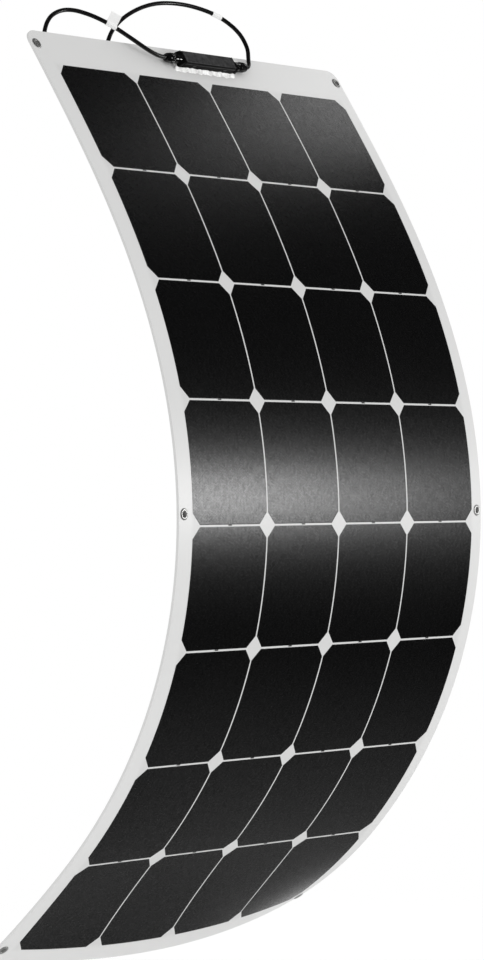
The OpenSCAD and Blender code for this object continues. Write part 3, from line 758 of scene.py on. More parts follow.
def tube(path, radius, sides=20):
    """Closed tube along a path. Each ring lies across the path, and its first point is on the side
    of the y axis."""
    heading = np.gradient(path, axis=0)
    heading /= np.linalg.norm(heading, axis=1, keepdims=True)
    first = [0, 1, 0] - heading * heading[:, 1:2]
    first /= np.linalg.norm(first, axis=1, keepdims=True)
    second = np.cross(heading, first)
    angle = (np.arange(sides) * 2 * math.pi / sides)[:, None]
    rings = path[:, None] + radius * (np.cos(angle) * first[:, None] + np.sin(angle) * second[:, None])
    caps = [np.repeat(path[[i]], sides, 0)[None] for i in (0, -1)]
    return np.concatenate([caps[0], rings, caps[1]])


def run_along(line):
    """Length along a line up to each of its points."""
    return np.concatenate([[0], np.cumsum(np.linalg.norm(np.diff(line, axis=0), axis=1))])


def points_at(line, run, at):
    """Points of a line at given lengths along it."""
    return np.stack([np.interp(at, run, line[:, j]) for j in range(line.shape[1])], -1)


def refined(line, count):
    """A line with a count of points added at even lengths along it."""
    run = run_along(line)
    return points_at(line, run, np.unique(np.concatenate([run, np.linspace(0, run[-1], count)])))


def eased(points, step=0.002):
    """Smooth line through points: a cubic on each stretch whose slopes at its ends come from the
    neighbouring points, sampled at about one step."""
    points = np.asarray(points, float)
    run = run_along(points)
    slope = np.gradient(points, run, axis=0)
    at = np.linspace(0, run[-1], int(run[-1] / step) + 1)
    i = np.clip(np.searchsorted(run, at, "right") - 1, 0, len(run) - 2)
    h = (run[i + 1] - run[i])[:, None]
    t = ((at - run[i])[:, None]) / h
    return (
        (2 * t**3 - 3 * t**2 + 1) * points[i]
        + (t**3 - 2 * t**2 + t) * h * slope[i]
        + (3 * t**2 - 2 * t**3) * points[i + 1]
        + (t**3 - t**2) * h * slope[i + 1]
    )


def placed(points, at, axes):
    """Points of a local frame moved to its place: the origin plus each coordinate along its axis."""
    return np.asarray(at) + np.asarray(points) @ np.asarray(axes)


def box_place(s, b, points):
    """Points of the box's frame, with z out of the sheet's front, in the frame of the part."""
    at, axes = sheet_frame(s, b.right, TOP_EYELET)
    return placed(np.asarray(points) + [0, -b.down, FRONT + SEAL_T], at, axes)


# Leads


def near(s, x, v, w):
    """Place that is v up along the sheet from the top eyelets and w out of its front."""
    at, axes = sheet_frame(s, 0.0, TOP_EYELET)
    return placed(np.array([x, v, w + FRONT]), at, axes)


def behind(s, x, back, down):
    """Place behind the back of the top edge, true to gravity."""
    edge = sheet_point(s, 0.0, s.length / 2, 0.0)
    return np.array([x, edge[1] + back, edge[2] - down])


# Route points in millimetres: over the front of the top margin, then behind the top edge
LEFT_NEAR = [
    (-70.6, 0.2, 6.5), (-81.5, 3.4, 7.3), (-93.4, 8.4, 8.4), (-103.6, 14, 9), (-113, 19.8, 9.1),
    (-122, 25.6, 9), (-140.4, 36.5, 7.9), (-151, 42.4, 6.2), (-162, 46.8, 4.5), (-173.5, 49.6, 3),
    (-185.4, 50.7, 0.5), (-197.2, 48.6, -2), (-207.2, 44.3, -4.5), (-215.8, 37.8, -6.5),
    (-222.9, 29.8, -8.5), (-228.9, 21.1, -10),
]
LEFT_BEHIND = [
    (-232.6, 7, 9), (-233.1, 6.8, 18), (-229.9, 6.7, 26.8), (-223.2, 6.6, 34), (-214, 6.6, 39.7),
    (-202.5, 6.7, 44.5), (-189.5, 6.9, 48), (-175, 7, 50.5), (-160, 7.5, 51.7), (-147, 7.5, 52),
]
RIGHT_NEAR = [
    (91.5, 0.8, 5.7), (97.1, 5.1, 5.3), (100.6, 10, 5), (104.1, 15.8, 5.3), (107.7, 25.4, 7),
    (105.1, 39, 9.6), (96.4, 47.5, 12), (89.8, 54.1, 12.1), (82.2, 59.7, 12), (62.8, 68, 11.5),
    (51.6, 71.3, 10.7), (41.5, 73.6, 9.9), (30.2, 75.4, 9), (16, 76.8, 7.5), (0.5, 77, 6), (-15.3, 75.7, 4.5),
    (-31.2, 72.7, 3), (-46.7, 68.4, 1.5), (-61.6, 63.2, -0.5), (-75.7, 57.2, -2.5), (-88.7, 50.4, -4.5),
    (-100.5, 42.9, -6.5), (-111.2, 34.5, -8), (-120.6, 25.2, -9.5),
]
RIGHT_BEHIND = [
    (-127.7, 8, 6.3), (-131.3, 7.6, 16), (-130.4, 7.4, 25), (-125.8, 7.4, 33), (-117.4, 7.4, 39.5),
    (-106.5, 7.5, 44.3), (-94.5, 7.5, 48), (-82, 7.5, 50.5), (-70, 7.5, 51.8), (-60, 7.5, 52),
]
FLAG_AT, SLEEVE_AT = 5, 8  # the labels lie between these route points and the next ones
COIL_TOP, COIL_BACK = 52 * MM, 7.5 * MM  # coils below and behind the top edge
LEFT_COIL_X, RIGHT_COIL_X = -130 * MM, -45 * MM


def over_front(s, point):
    """Place of a route point over the front."""
    return near(s, *(np.array(point) * MM))


def between(s, route, i):
    """Place halfway between a route point over the front and the next one."""
    return (over_front(s, route[i]) + over_front(s, route[i + 1])) / 2


def coil_points(s, k, x, radius, per_turn=24):
    """Piled coil in a plane behind the sheet: the radius falls by a pitch each turn to the middle
    of the winding and grows again, and in the half turn between, it climbs one pitch."""
    pitch = k.diameter + COIL_GAP
    middle = k.turns / 2
    turn = np.arange(int(per_turn * k.turns) + 1) / per_turn
    wind = radius - pitch * middle + pitch * np.abs(turn - middle)
    climb = pitch * np.clip((turn - middle) * 2 + 0.5, 0, 1)
    corner = behind(s, 0.0, 0.0, 0.0)
    return np.stack(
        [
            x + wind * np.sin(2 * math.pi * turn),
            corner[1] + COIL_BACK + climb,
            corner[2] - COIL_TOP - radius + wind * np.cos(2 * math.pi * turn),
        ],
        -1,
    )


def coil_end(s, k, x, radius):
    """Place below a coil where its connector hangs."""
    return behind(s, x + radius, COIL_BACK + k.diameter + COIL_GAP, COIL_TOP + radius + k.tail)


def lead_path(s, b, k, side, near_points, behind_points, coil_x, coil_r):
    """Centreline of a lead from inside its gland nut over the route and through its coil."""
    axis_w = SEAL_T + b.lead_height
    mouth = b.lid / 2 + END_GAP + END_BLOCK + NUT_GAP + b.nut
    backs = (IN_NUT, IN_NUT / 2, 0.0)
    start = [near(s, b.right + side * (mouth - back), -b.down, axis_w) for back in backs]
    over = [over_front(s, p) for p in near_points]
    down = [behind(s, *(np.array(p) * MM)) for p in behind_points]
    loops = coil_points(s, k, coil_x, coil_r)
    return eased(np.concatenate([start, over, down, loops, [coil_end(s, k, coil_x, coil_r)]]))


def stretch(path, middle, span):
    """The part of a path of a given span round the point nearest to a place."""
    i = np.argmin(np.linalg.norm(path - middle, axis=1))
    run = run_along(path)
    return points_at(path, run, np.linspace(run[i] - span / 2, run[i] + span / 2, 9))


class SOLAR_OT_leads(bpy.types.Operator):
    """Makes the two leads with their coils, ties and blank labels"""

    bl_idname = "solar.leads"
    bl_label = "Leads"

    def execute(self, context):
        s, b, k = context.scene.sheet_sizes, context.scene.box_sizes, context.scene.lead_sizes
        left = lead_path(s, b, k, -1, LEFT_NEAR, LEFT_BEHIND, LEFT_COIL_X, k.left_coil)
        right = lead_path(s, b, k, 1, RIGHT_NEAR, RIGHT_BEHIND, RIGHT_COIL_X, k.right_coil)
        flag_line = stretch(left, between(s, LEFT_NEAR, FLAG_AT), TAPE_L)
        sleeve_line = stretch(right, between(s, RIGHT_NEAR, SLEEVE_AT), TAPE_L)
        flag_shells = [*self.leaf(flag_line, k.diameter), self.wrap(flag_line, k.diameter)]
        flag = make_piece("flag_label_tape", flag_shells, "label", "label")
        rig.replaces(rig.ride(flag, "top_band"), "flag_label")
        sleeve = make_piece("sleeve_label_tape", [self.wrap(sleeve_line, k.diameter)], "label", "label")
        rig.replaces(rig.ride(sleeve, "top_band"), "sleeve_label")
        plug, socket = (
            [bpy.data.objects[f"{end}_{part}"] for part in ("shell", "ridged_nut")]
            for end in ("plug", "socket")
        )
        for name, path, nodes, extras in (
            ("left_lead", left, ("lead_left", "coil_left"), [flag, *plug]),
            ("right_lead", right, ("lead_right", "coil_right"), [sleeve, *socket]),
        ):
            piece = make_piece(name, [tube(path, k.diameter / 2)], "jacket", "lead_jacket")
            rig.replaces(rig.ride(piece, "top_band"), *nodes)
            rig.cord(
                piece, exit=path[0], length=float(run_along(path)[-1]), diameter=k.diameter,
                far_end="connector", stiffness="medium", lay="coiled", path=path, with_pieces=extras,
            )
        coils = ((LEFT_COIL_X, k.left_coil), (RIGHT_COIL_X, k.right_coil))
        ties = [part for x, radius in coils for part in self.tie(s, k, x, radius)]
        strap = make_piece("coil_tie_straps", ties, "box", "box_plastic")
        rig.replaces(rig.ride(strap, "top_band"), "coil_ties")
        return {"FINISHED"}

    def wrap(self, line, diameter):
        """Thin tape round a lead: two tubes along the same stretch, joined at their ends."""
        outer, inner = (tube(line, diameter / 2 + thick * MM)[1:-1] for thick in (0.45, 0.1))
        return np.concatenate([outer, inner[::-1], outer[:1]])

    def leaf(self, line, diameter):
        """Double leaf of tape that stands up from the lead and curls a little towards its free edge."""
        far, curl, thick = 11 * MM, 1.2 * MM, 0.44 * MM
        along = line[-1] - line[0]
        along /= np.linalg.norm(along)
        up = FLAG_UP - along * (FLAG_UP @ along)
        up /= np.linalg.norm(up)
        across = np.cross(along, up)
        out = np.linspace(0, 1, 9)[None, :, None]
        middle = line[:, None] + up * (diameter / 2 + far * out) + across * (curl * out**2)
        sides = [middle + across * t for t in (thick / 2, -thick / 2)]
        rim = np.stack([border(g) for g in sides])
        return [(sides[0], False, None), (sides[1], False, None), rim]

    def tie(self, s, k, x, radius):
        """Flat strap in a rounded loop round the turns at the bottom of a coil, with a small head."""
        pitch = k.diameter + COIL_GAP
        room = k.diameter / 2 + 0.65 * MM
        high = radius - pitch * k.turns / 2 - room
        low = radius - pitch * 0.5 + room
        middle = behind(s, x, COIL_BACK + pitch / 2, COIL_TOP + radius + (low + high) / 2)
        loop, ways = plan(pitch + 2 * room, low - high, 2.2 * MM, 6)
        section = np.array([
            (0.35, 1.6), (0.35, -1.6), (0.2, -1.75), (-0.2, -1.75),
            (-0.35, -1.6), (-0.35, 1.6), (-0.2, 1.75), (0.2, 1.75),
        ]) * MM
        flat = loop[:, None] + ways[:, None] * section[None, :, :1]
        wide = np.broadcast_to(section[None, :, 1:], (*flat.shape[:2], 1))
        strap = np.concatenate([wide, flat], -1)
        strap = np.concatenate([strap, strap[:1]])
        levels = np.array([(0.4, 0), (0, 0.4), (0, 2.2), (0.4, 2.6)]) * MM
        head = stack(4.6 * MM, 3.0 * MM, 0.7 * MM, levels)
        head = head[..., [0, 2, 1]] + [0, pitch / 2 + room, 0]
        return [strap + middle, head + middle]


# Sheet


class Quarter(NamedTuple):
    """A quarter of the sheet, which bends between two bands along its upper row's lower line."""

    name: str
    bodies: tuple  # the bands that it bends between
    ends: tuple  # row lines at its ends, or None for an end of the sheet
    bend: tuple  # lengths along the sheet between which it bends
    rows: tuple  # rows of cells
    bands: tuple  # bands whose nodes it stands for


QUARTERS = (
    Quarter("top", ("top_band", "upper_band"), (None, 2), (0.496, 0.242), (1, 2), ("top",)),
    Quarter("upper", ("upper_band", "middle_band"), (2, 4), (0.242, 0.012), (3, 4), ("upper",)),
    Quarter("lower", ("middle_band", "lower_band"), (4, 6), (-0.012, -0.266), (5, 6), ("middle",)),
    Quarter("bottom", ("lower_band", "bottom_band"), (6, None), (-0.266, -0.5), (7, 8), ("lower", "bottom")),
)


def bend(piece, s, quarter):
    """Lets a quarter of the sheet turn smoothly between its two bands."""
    first, last = (sheet_point(s, 0.0, u, 0.0) for u in quarter.bend)
    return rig.blend(piece, *quarter.bodies, start=tuple(first), end=tuple(last))


def quarter_outline(s, ends):
    """Function of an inset that gives x and u on a grid between two row lines, or out to a rounded
    end of the sheet. In a rounded end the half width follows a quarter circle. At a row line only the
    wide insets move in, so that the neighbours meet in a plain wall."""
    turn = np.linspace(math.pi / 2, 0, 9)
    top = s.length / 2 - s.corner if ends[0] is None else row_line(s, ends[0])
    low = s.corner - s.length / 2 if ends[1] is None else row_line(s, ends[1])
    step, columns, wide = 4 * MM, 57, 0.5 * MM
    count = int((top - low) / step) + 2
    share = np.linspace(-1, 1, columns)

    def grid(inset):
        seam = [0.0 if end is None or inset < wide else inset for end in ends]
        u = np.linspace(top - seam[0], low + seam[1], count)
        half = np.full(count, s.width / 2 - inset)
        r = s.corner - inset
        middle = s.width / 2 - s.corner
        if ends[0] is None:
            u = np.concatenate([top + r * np.sin(turn), u[1:]])
            half = np.concatenate([middle + r * np.cos(turn), half[1:]])
        if ends[1] is None:
            u = np.concatenate([u[:-1], low - r * np.sin(turn[::-1])])
            half = np.concatenate([half[:-1], middle + r * np.cos(turn[::-1])])
        return half[:, None] * share, np.repeat(u[:, None], len(share), 1)

    return grid


def cut_holes(piece, s, u):
    """Turns a sheet into triangles and cuts the holes of a pair of eyelets with short cylinders."""
    work = bmesh.new()
    work.from_mesh(piece.data)
    bmesh.ops.triangulate(work, faces=work.faces)
    work.to_mesh(piece.data)
    work.clear()
    for x in (-s.eyelet_span / 2, s.eyelet_span / 2):
        at, axes = sheet_frame(s, x, u)
        turn = Matrix(axes.T.tolist()).to_4x4()
        turn.translation = Vector(at)
        bmesh.ops.create_cone(
            work, cap_ends=True, segments=32, radius1=HOLE_R, radius2=HOLE_R, depth=30 * MM, matrix=turn
        )
    mesh = bpy.data.meshes.new("eyelet hole cutter")
    work.to_mesh(mesh)
    work.free()
    cutter = bpy.data.objects.new("eyelet hole cutter", mesh)
    bpy.context.scene.collection.objects.link(cutter)
    holes = piece.modifiers.new("holes", "BOOLEAN")
    holes.object, holes.operation, holes.solver = cutter, "DIFFERENCE", "EXACT"
    bpy.context.view_layer.update()
    cut = bpy.data.meshes.new_from_object(piece.evaluated_get(bpy.context.evaluated_depsgraph_get()))
    piece.modifiers.clear()
    piece.data = cut
    bpy.data.objects.remove(cutter)


class SOLAR_OT_laminate(bpy.types.Operator):
    """Makes the white laminate in four quarters that bend with the bands"""

    bl_idname = "solar.laminate"
    bl_label = "Laminate"

    def execute(self, context):
        s = context.scene.sheet_sizes
        levels = np.array([
            (0.9, 2.9), (0.35, 2.9), (0.1, 2.83), (0, 2.65), (0, 0.25), (0.08, 0.08), (0.25, 0), (0.8, 0),
        ]) * MM
        holes = {"top": TOP_EYELET, "upper": 0.0, "bottom": -TOP_EYELET}
        for quarter in QUARTERS:
            shells = slab(s, quarter_outline(s, quarter.ends), levels)
            piece = make_piece(f"laminate_{quarter.name}", shells, "laminate", "white_sheet")
            if quarter.name in holes:
                cut_holes(piece, s, holes[quarter.name])
            bend(piece, s, quarter)
            layers = ("back_sheet", "encapsulant", "front_film")
            nodes = [f"{layer}_{band}" for layer in layers for band in quarter.bands]
            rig.replaces(piece, *nodes, f"flex_strip_{quarter.rows[0]}")
        return {"FINISHED"}


def cell_outline(s, row, column):
    """Function of an inset that gives x and u on a cell's grid: a square whose corners are cut at
    half a right angle, so the half width falls with the distance past the cut's start."""
    h = s.cell / 2
    x0 = column_middle(s, column)
    u0 = (row_line(s, row) + row_line(s, row - 1)) / 2
    share = np.linspace(-1, 1, 13)

    def grid(inset):
        start = h - s.cut - SLANT * inset
        cut = np.linspace(h - inset, start, 4)
        straight = np.linspace(start, -start, 22)
        u = np.concatenate([cut[:-1], straight, -cut[-2::-1]])
        half = np.minimum(h - inset, 2 * h - s.cut - (1 + SLANT) * inset - np.abs(u))
        return x0 + half[:, None] * share, u0 + np.repeat(u[:, None], len(share), 1)

    return grid


class SOLAR_OT_cells(bpy.types.Operator):
    """Makes the dark cells with their cut corners, and the tabs that join them"""

    bl_idname = "solar.cells"
    bl_label = "Cells"

    def execute(self, context):
        s = context.scene.sheet_sizes
        levels = np.array([(0.8, 3.0), (0.35, 3.0), (0.12, 2.975), (0, 2.9), (0, 2.6)]) * MM
        for quarter in QUARTERS:
            lines = [k for k in quarter.rows if k < ROWS]
            outlines = [cell_outline(s, row, column) for row in quarter.rows for column in range(COLUMNS)]
            cells = [slab(s, outline, levels) for outline in outlines]
            tabs = [self.tab(s, k, column) for k in lines for column in range(COLUMNS)]
            piece = make_piece(f"cell_rows_{quarter.name}", sum(cells, []), "silicon", "cell")
            bend(piece, s, quarter)
            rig.replaces(piece, *[f"cells_{band}" for band in quarter.bands])
            piece = make_piece(f"tab_nibs_{quarter.name}", sum(tabs, []), "tinned", "tab_metal")
            bend(piece, s, quarter)
            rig.replaces(piece, *[f"cell_tabs_{k}" for k in lines])
        return {"FINISHED"}

    def tab(self, s, k, column):
        """Short dark nib of a tab that shows in the gap, next to the cell above it."""
        x0 = column_middle(s, column)
        u0 = row_line(s, k) + 0.35 * MM
        half_x, half_u = 3 * MM, 0.65 * MM

        def grid(inset):
            u = np.linspace(half_u - inset, inset - half_u, 3)
            x = np.linspace(inset - half_x, half_x - inset, 7)
            return np.repeat(x0 + x[None], len(u), 0), np.repeat(u0 + u[:, None], len(x), 1)

        return slab(s, grid, np.array([(0.25, 2.96), (0.08, 2.94), (0, 2.88), (0, 2.5)]) * MM)


class SOLAR_OT_eyelets(bpy.types.Operator):
    """Makes the six rolled eyelets with their rear washers"""

    bl_idname = "solar.eyelets"
    bl_label = "Eyelets"

    def execute(self, context):
        s = context.scene.sheet_sizes
        rolled = np.array([
            (2.75, -1.2), (3.3, -1.32), (4.25, -1.1), (4.28, -0.78), (3.35, -0.74), (3.35, 2.6),
            (3.6, 2.95), (5.9, 2.93), (6.0, 3.1), (5.85, 3.36), (5.2, 3.72), (4.4, 3.9),
            (3.6, 3.82), (3.05, 3.5), (2.78, 3.0), (2.75, 2.2), (2.75, -1.2),
        ])
        washer = np.array([(3.5, -0.7), (5.9, -0.7), (6.0, -0.6), (6.0, -0.02), (3.5, -0.02), (3.5, -0.7)])
        profiles = [rounded(rolled, 0.3) * MM, rounded(washer, 0.12) * MM]
        for band, u in (("top", TOP_EYELET), ("middle", 0.0), ("bottom", -TOP_EYELET)):
            rings = []
            for x in (-s.eyelet_span / 2, s.eyelet_span / 2):
                at, axes = sheet_frame(s, x, u)
                rings += [placed(spin(profile), at, axes) for profile in profiles]
            piece = make_piece(f"rolled_eyelets_{band}", rings, "plating", "eyelet_metal", 50.0)
            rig.replaces(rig.ride(piece, f"{band}_band"), f"eyelets_{band}")
        return {"FINISHED"}


# Junction box


def on_lead(b, points, side, start):
    """Turned points laid along the leads' axis in the box's frame, from a start outwards to one side."""
    x, y, z = side * (start + points[..., 2]), points[..., 0], points[..., 1] + b.lead_height
    return np.stack([x, y, z], -1)


class SOLAR_OT_junction_box(bpy.types.Operator):
    """Makes the junction box: sealant bead, base with necks, clipped lid and gland nuts"""

    bl_idname = "solar.junction_box"
    bl_label = "Junction box"

    def execute(self, context):
        s, b, k = context.scene.sheet_sizes, context.scene.box_sizes, context.scene.lead_sizes
        block = b.lid / 2 + END_GAP
        neck = block + END_BLOCK

        def piece(name, shells, finish_name, slot, body, node, sharp=35.0):
            moved = [(box_place(s, b, grid), True, grid[..., [0, 2]]) for grid in shells]
            made = make_piece(name, moved, finish_name, slot, sharp)
            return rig.replaces(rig.ride(made, body), node)

        bead = [self.bead(b, neck), self.bed(b, neck)]
        piece("sealant_bead", bead, "sealant", "sealant", "top_band", "box_sealant", 60.0)
        piece("box_tray", self.tray(b, k, block, neck), "box", "box_plastic", "top_band", "box_base")
        piece("box_cover", self.cover(b), "lid", "lid_plastic", "lid", "box_lid")
        collars = [on_lead(b, self.collar(k), side, block + 0.4 * MM) for side in (-1, 1)]
        shells = [box_place(s, b, grid) for grid in collars]
        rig.ride(make_piece("neck_collars", shells, "gloss", "box_plastic"), "top_band")
        for side, name in ((-1, "left"), (1, "right")):
            nut = on_lead(b, gland_nut(b, k), side, neck + NUT_GAP)
            body, node = f"{name}_gland_nut", f"gland_nut_{name}"
            piece(f"knurled_nut_{name}", [nut], "gloss", "box_plastic", body, node)
        for node, shade in (
            ("box_gasket", "seal"), ("gland_seals", "seal"), ("bypass_diodes", "box"),
            ("box_terminals", "brass"), ("bus_ribbons_top", "tinned"), ("bus_ribbons_bottom", "tinned"),
        ):
            dress(node, shade)
        return {"FINISHED"}

    def bead(self, b, neck):
        """Lumpy fillet squeezed out round the box: a section carried round its plan, whose reach and
        height are a sum of three waves and are greatest on the lower side. The lower left end is
        drawn out to a tail."""
        loop, ways = (np.concatenate([a, a[:1]]) for a in plan(2 * neck, b.breadth, 2 * MM, 6))
        run = run_along(loop)
        at = np.linspace(0, run[-1], 360)[:-1]
        loop, ways = (points_at(a, run, at) for a in (loop, ways))
        lower = np.clip(-ways[:, 1], 0, 1)
        tail_l, tail_from = 7 * MM, 12 * MM
        loop[:, 0] -= tail_l * lower * np.clip((-loop[:, 0] - neck + tail_from) / tail_from, 0, 1)
        swell = np.sin(at * 410 + 0.4) * 0.5 + np.sin(at * 690 + 1.3) * 0.35 + np.sin(at * 1130) * 0.15
        crest = np.sin(at * 530 + 2.0) * 0.55 + np.sin(at * 870) * 0.3 + np.sin(at * 240) * 0.4
        reach = (1.7 + 2.3 * lower + swell * (0.3 + 0.8 * lower)) * MM
        high = (1.4 + 1.0 * lower + crest * (0.25 + 0.4 * lower)) * MM
        section = np.array([
            (-0.2, -0.5), (1, -0.6), (0.98, -0.45), (0.92, -0.2), (0.8, 0.06), (0.62, 0.25),
            (0.42, 0.46), (0.22, 0.76), (0.06, 1), (-0.1, 0.9), (-0.2, 0.3),
        ])
        out = reach[:, None] * section[:, 0]
        up = np.where(section[:, 1] < 0, section[:, 1] * MM, high[:, None] * section[:, 1])
        flat = loop[:, None] + ways[:, None] * out[..., None]
        rings = np.concatenate([flat, up[..., None]], -1)
        return np.concatenate([rings, rings[:1]])

    def bed(self, b, neck):
        """Thin bed of sealant under the box."""
        return stack(2 * neck + 1.6 * MM, b.breadth + 2 * MM, 2 * MM, [(0, -0.58 * MM), (0, -0.02 * MM)])

    def tray(self, b, k, block, neck):
        """Open tray with end blocks that slope down to its necks. Each is a stack of rounded
        rectangles, and the necks are turned."""
        wall, floor = 1.5, 1.2
        w = b.wall / MM
        levels = np.array([
            (0.4, 0), (0, 0.4), (0, w - 0.3), (0.3, w), (wall - 0.3, w), (wall, w - 0.3),
            (wall, floor + 0.4), (wall + 0.4, floor),
        ]) * MM
        shells = [stack(2 * block, b.breadth, 1.6 * MM, levels)]
        top = b.height - 0.4 * MM
        heights = np.array([0, 0.4, 6.6, 7.0, 7.6, 9.6, 10.6, 10.9, top / MM]) * MM
        reach = np.interp(heights, [0, b.wall, top], [END_BLOCK, END_BLOCK, 1.2 * MM])
        insets = np.array([0.4, 0, 0, 0.05, 0.1, 0.15, 0.2, 0.3, 0.45]) * MM
        end = closed([
            plan(l - 2 * i, b.breadth - 2 * i, 0.55 * MM - i)[0] + [block + l / 2, 0]
            for l, i in zip(reach, insets)
        ], heights)
        bore = k.diameter / 2 + LEAD_PLAY
        radius, far = 4 * MM, 10.5 * MM
        line = rounded([(bore, 0), (radius, 0), (radius, far), (bore, far), (bore, 0)], 0.4 * MM)
        for side in (-1, 1):
            shells += [end * [side, 1, 1], on_lead(b, spin(line), side, neck - 0.5 * MM)]
        return shells

    def collar(self, k):
        """Smooth collar round a neck that tapers from inside the end block to just short of the nut."""
        bore = k.diameter / 2 / MM + 0.3
        line = np.array([(bore, 0), (5.5, 0), (5.02, 6.4), (4.8, 6.9), (4.4, 7), (bore, 7), (bore, 0)])
        return spin(rounded(line * MM, 0.5 * MM))

    def cover(self, b):
        """Lid with sloped shoulders, a lip inside and two clips on its lower side."""
        h = b.height / MM
        levels = np.array([
            (3.2, h - 1.5), (3.0, h - 1.7), (2.9, 6.8), (2.0, 6.8), (1.95, 7.55), (0.25, 7.55),
            (0, 7.75), (0, h - 1.95), (0.12, h - 1.65), (1.0, h - 0.16), (1.35, h), (1.8, h),
        ]) * MM
        shells = [stack(b.lid, b.breadth, 1.5 * MM, levels)]
        clip_levels = np.array([(0.25, -0.6), (0, -0.4), (0, 0.3), (0.3, 0.55)]) * MM
        clip = stack(6 * MM, 2.9 * MM, 0.5 * MM, clip_levels)[..., [0, 2, 1]] * [1, -1, 1]
        clip_x, clip_z = b.lid / 3.3, 6.3 * MM
        shells += [clip + [x, -b.breadth / 2, clip_z] for x in (-clip_x, clip_x)]
        return shells


def ridged(line, ridges, low, high, depth, sides=144):
    """Turned shape whose radius dips between a count of ridges over a stretch of its height.
    Only points further out than halfway between its least and greatest radius dip."""
    line = refined(line, 90)
    outside = line[:, :1] > (line[:, 0].min() + line[:, 0].max()) / 2
    fade = 0.5 * MM

    def dip(z, angle):
        share = np.clip((z - low) / fade, 0, 1) * np.clip((high - z) / fade, 0, 1)
        return -depth * outside * share * (0.5 - 0.5 * np.cos(ridges * angle)) ** 2

    return spin(line, sides, dip)


def gland_nut(b, k):
    """Nut with a smooth collar next to the box that tapers outwards, a ridged grip and a blunt tip
    round the lead."""
    end = b.nut / MM
    inner = (k.diameter / 2 + LEAD_PLAY) / MM
    line = np.array([
        (4.4, 0), (4.9, 0), (5.12, 0.4), (4.83, 4.2), (4.7, 4.6), (4.7, 5.2), (5.2, 5.5), (5.6, 5.9),
        (5.6, 12.0), (5.4, 12.6), (5.3, 14.0), (5.0, 15.5), (inner + 1.8, end - 0.6),
        (inner + 1.2, end), (inner, end), (inner, 11), (4.4, 10.5), (4.4, 0),
    ]) * MM
    return ridged(rounded(line, 0.3 * MM, 3), 18, 5.9 * MM, 12.0 * MM, 0.11)


class SOLAR_OT_connectors(bpy.types.Operator):
    """Makes the plug and the socket that hang from the coils, with their ridged cable nuts"""

    bl_idname = "solar.connectors"
    bl_label = "Connectors"

    def execute(self, context):
        s, k = context.scene.sheet_sizes, context.scene.lead_sizes
        for name, shells, coil_x, coil_r in (
            ("plug", self.plug(), LEFT_COIL_X, k.left_coil),
            ("socket", self.socket(), RIGHT_COIL_X, k.right_coil),
        ):
            end = coil_end(s, k, coil_x, coil_r)
            for piece, grids, shade, body, node in (
                (f"{name}_shell", shells, "box", "top_band", f"{name}_body"),
                (f"{name}_ridged_nut", [self.nut(k)], "gloss", f"{name}_cable_nut", f"{name}_nut"),
            ):
                hung = [grid * [1, 1, -1] + end for grid in grids]
                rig.replaces(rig.ride(make_piece(piece, hung, shade, "box_plastic"), body), node)
        dress("connector_contacts", "brass")
        return {"FINISHED"}

    def nut(self, k):
        """Cable nut: a domed cone up from the lead, and a grip with ridges."""
        bore = k.diameter / 2 / MM + 0.4
        line = np.array([
            (bore, 1.2), (bore, -3), (bore + 1, -3), (bore + 3.2, -1.4), (6.9, 0.9), (7.3, 2.2),
            (7.6, 2.8), (7.6, 12.3), (7.2, 13), (6.3, 13), (6.3, 1.6), (bore, 1.2),
        ]) * MM
        return ridged(rounded(line, 0.4 * MM, 3), 22, 2.9 * MM, 12.2 * MM, 0.085)

    def hub(self, nose):
        """Turned outline from the thread over a grooved hub, and on along a nose and back in its bore."""
        line = [
            (2.1, 28.4), (2.1, 2.2), (5.6, 2.2), (6, 2.6), (6, 13.4), (7.5, 13.4), (8, 13.9), (8, 16),
            (7.5, 16.3), (7.5, 17.1), (8, 17.4), (8, 27.8), (7.6, 28.4), *nose, (2.1, 28.4),
        ]
        return rounded(np.array(line) * MM, 0.3 * MM, 3)

    def plug(self):
        """Plug: hub with grip ridges, a thin nose with a seal ring's groove, and two latch arms."""
        nose = [
            (5.6, 28.4), (5.6, 36), (5.2, 36.4), (5.2, 38), (5.6, 38.4), (5.6, 51.6), (5, 52.4),
            (4.5, 52.4), (4.3, 52), (4.3, 28.6),
        ]
        arm = np.array([(0.4, 27.4), (0, 27.8), (0, 38.5), (-0.25, 39), (-0.25, 40), (0.45, 42.4)]) * MM
        arms = [stack(1.4 * MM, 5 * MM, 0.5 * MM, arm) + [side * 6.9 * MM, 0, 0] for side in (-1, 1)]
        return [ridged(self.hub(nose), 16, 18.4 * MM, 27.2 * MM, 0.05), *arms]

    def socket(self):
        """Socket: the same hub, and a wide nose with a rim whose sides are let in for the latches.
        The radius dips over a window of height and angle."""
        nose = [(7.6, 29), (7.6, 50), (7.9, 50.3), (7.9, 51.9), (7.5, 52.4), (6.3, 52.4), (6, 52), (6, 29.4)]
        line = refined(self.hub(nose), 160)
        outside = line[:, :1] > 6.6 * MM
        fade = 0.3 * MM

        def window(z, angle):
            tall = np.clip((2.6 * MM - np.abs(z - 35.4 * MM)) / fade, 0, 1)
            wide = np.clip((3 * MM - np.abs(7.6 * MM * np.sin(angle))) / fade, 0, 1)
            return -0.16 * outside * tall * wide

        return [spin(line, 144, window)]


# Stage


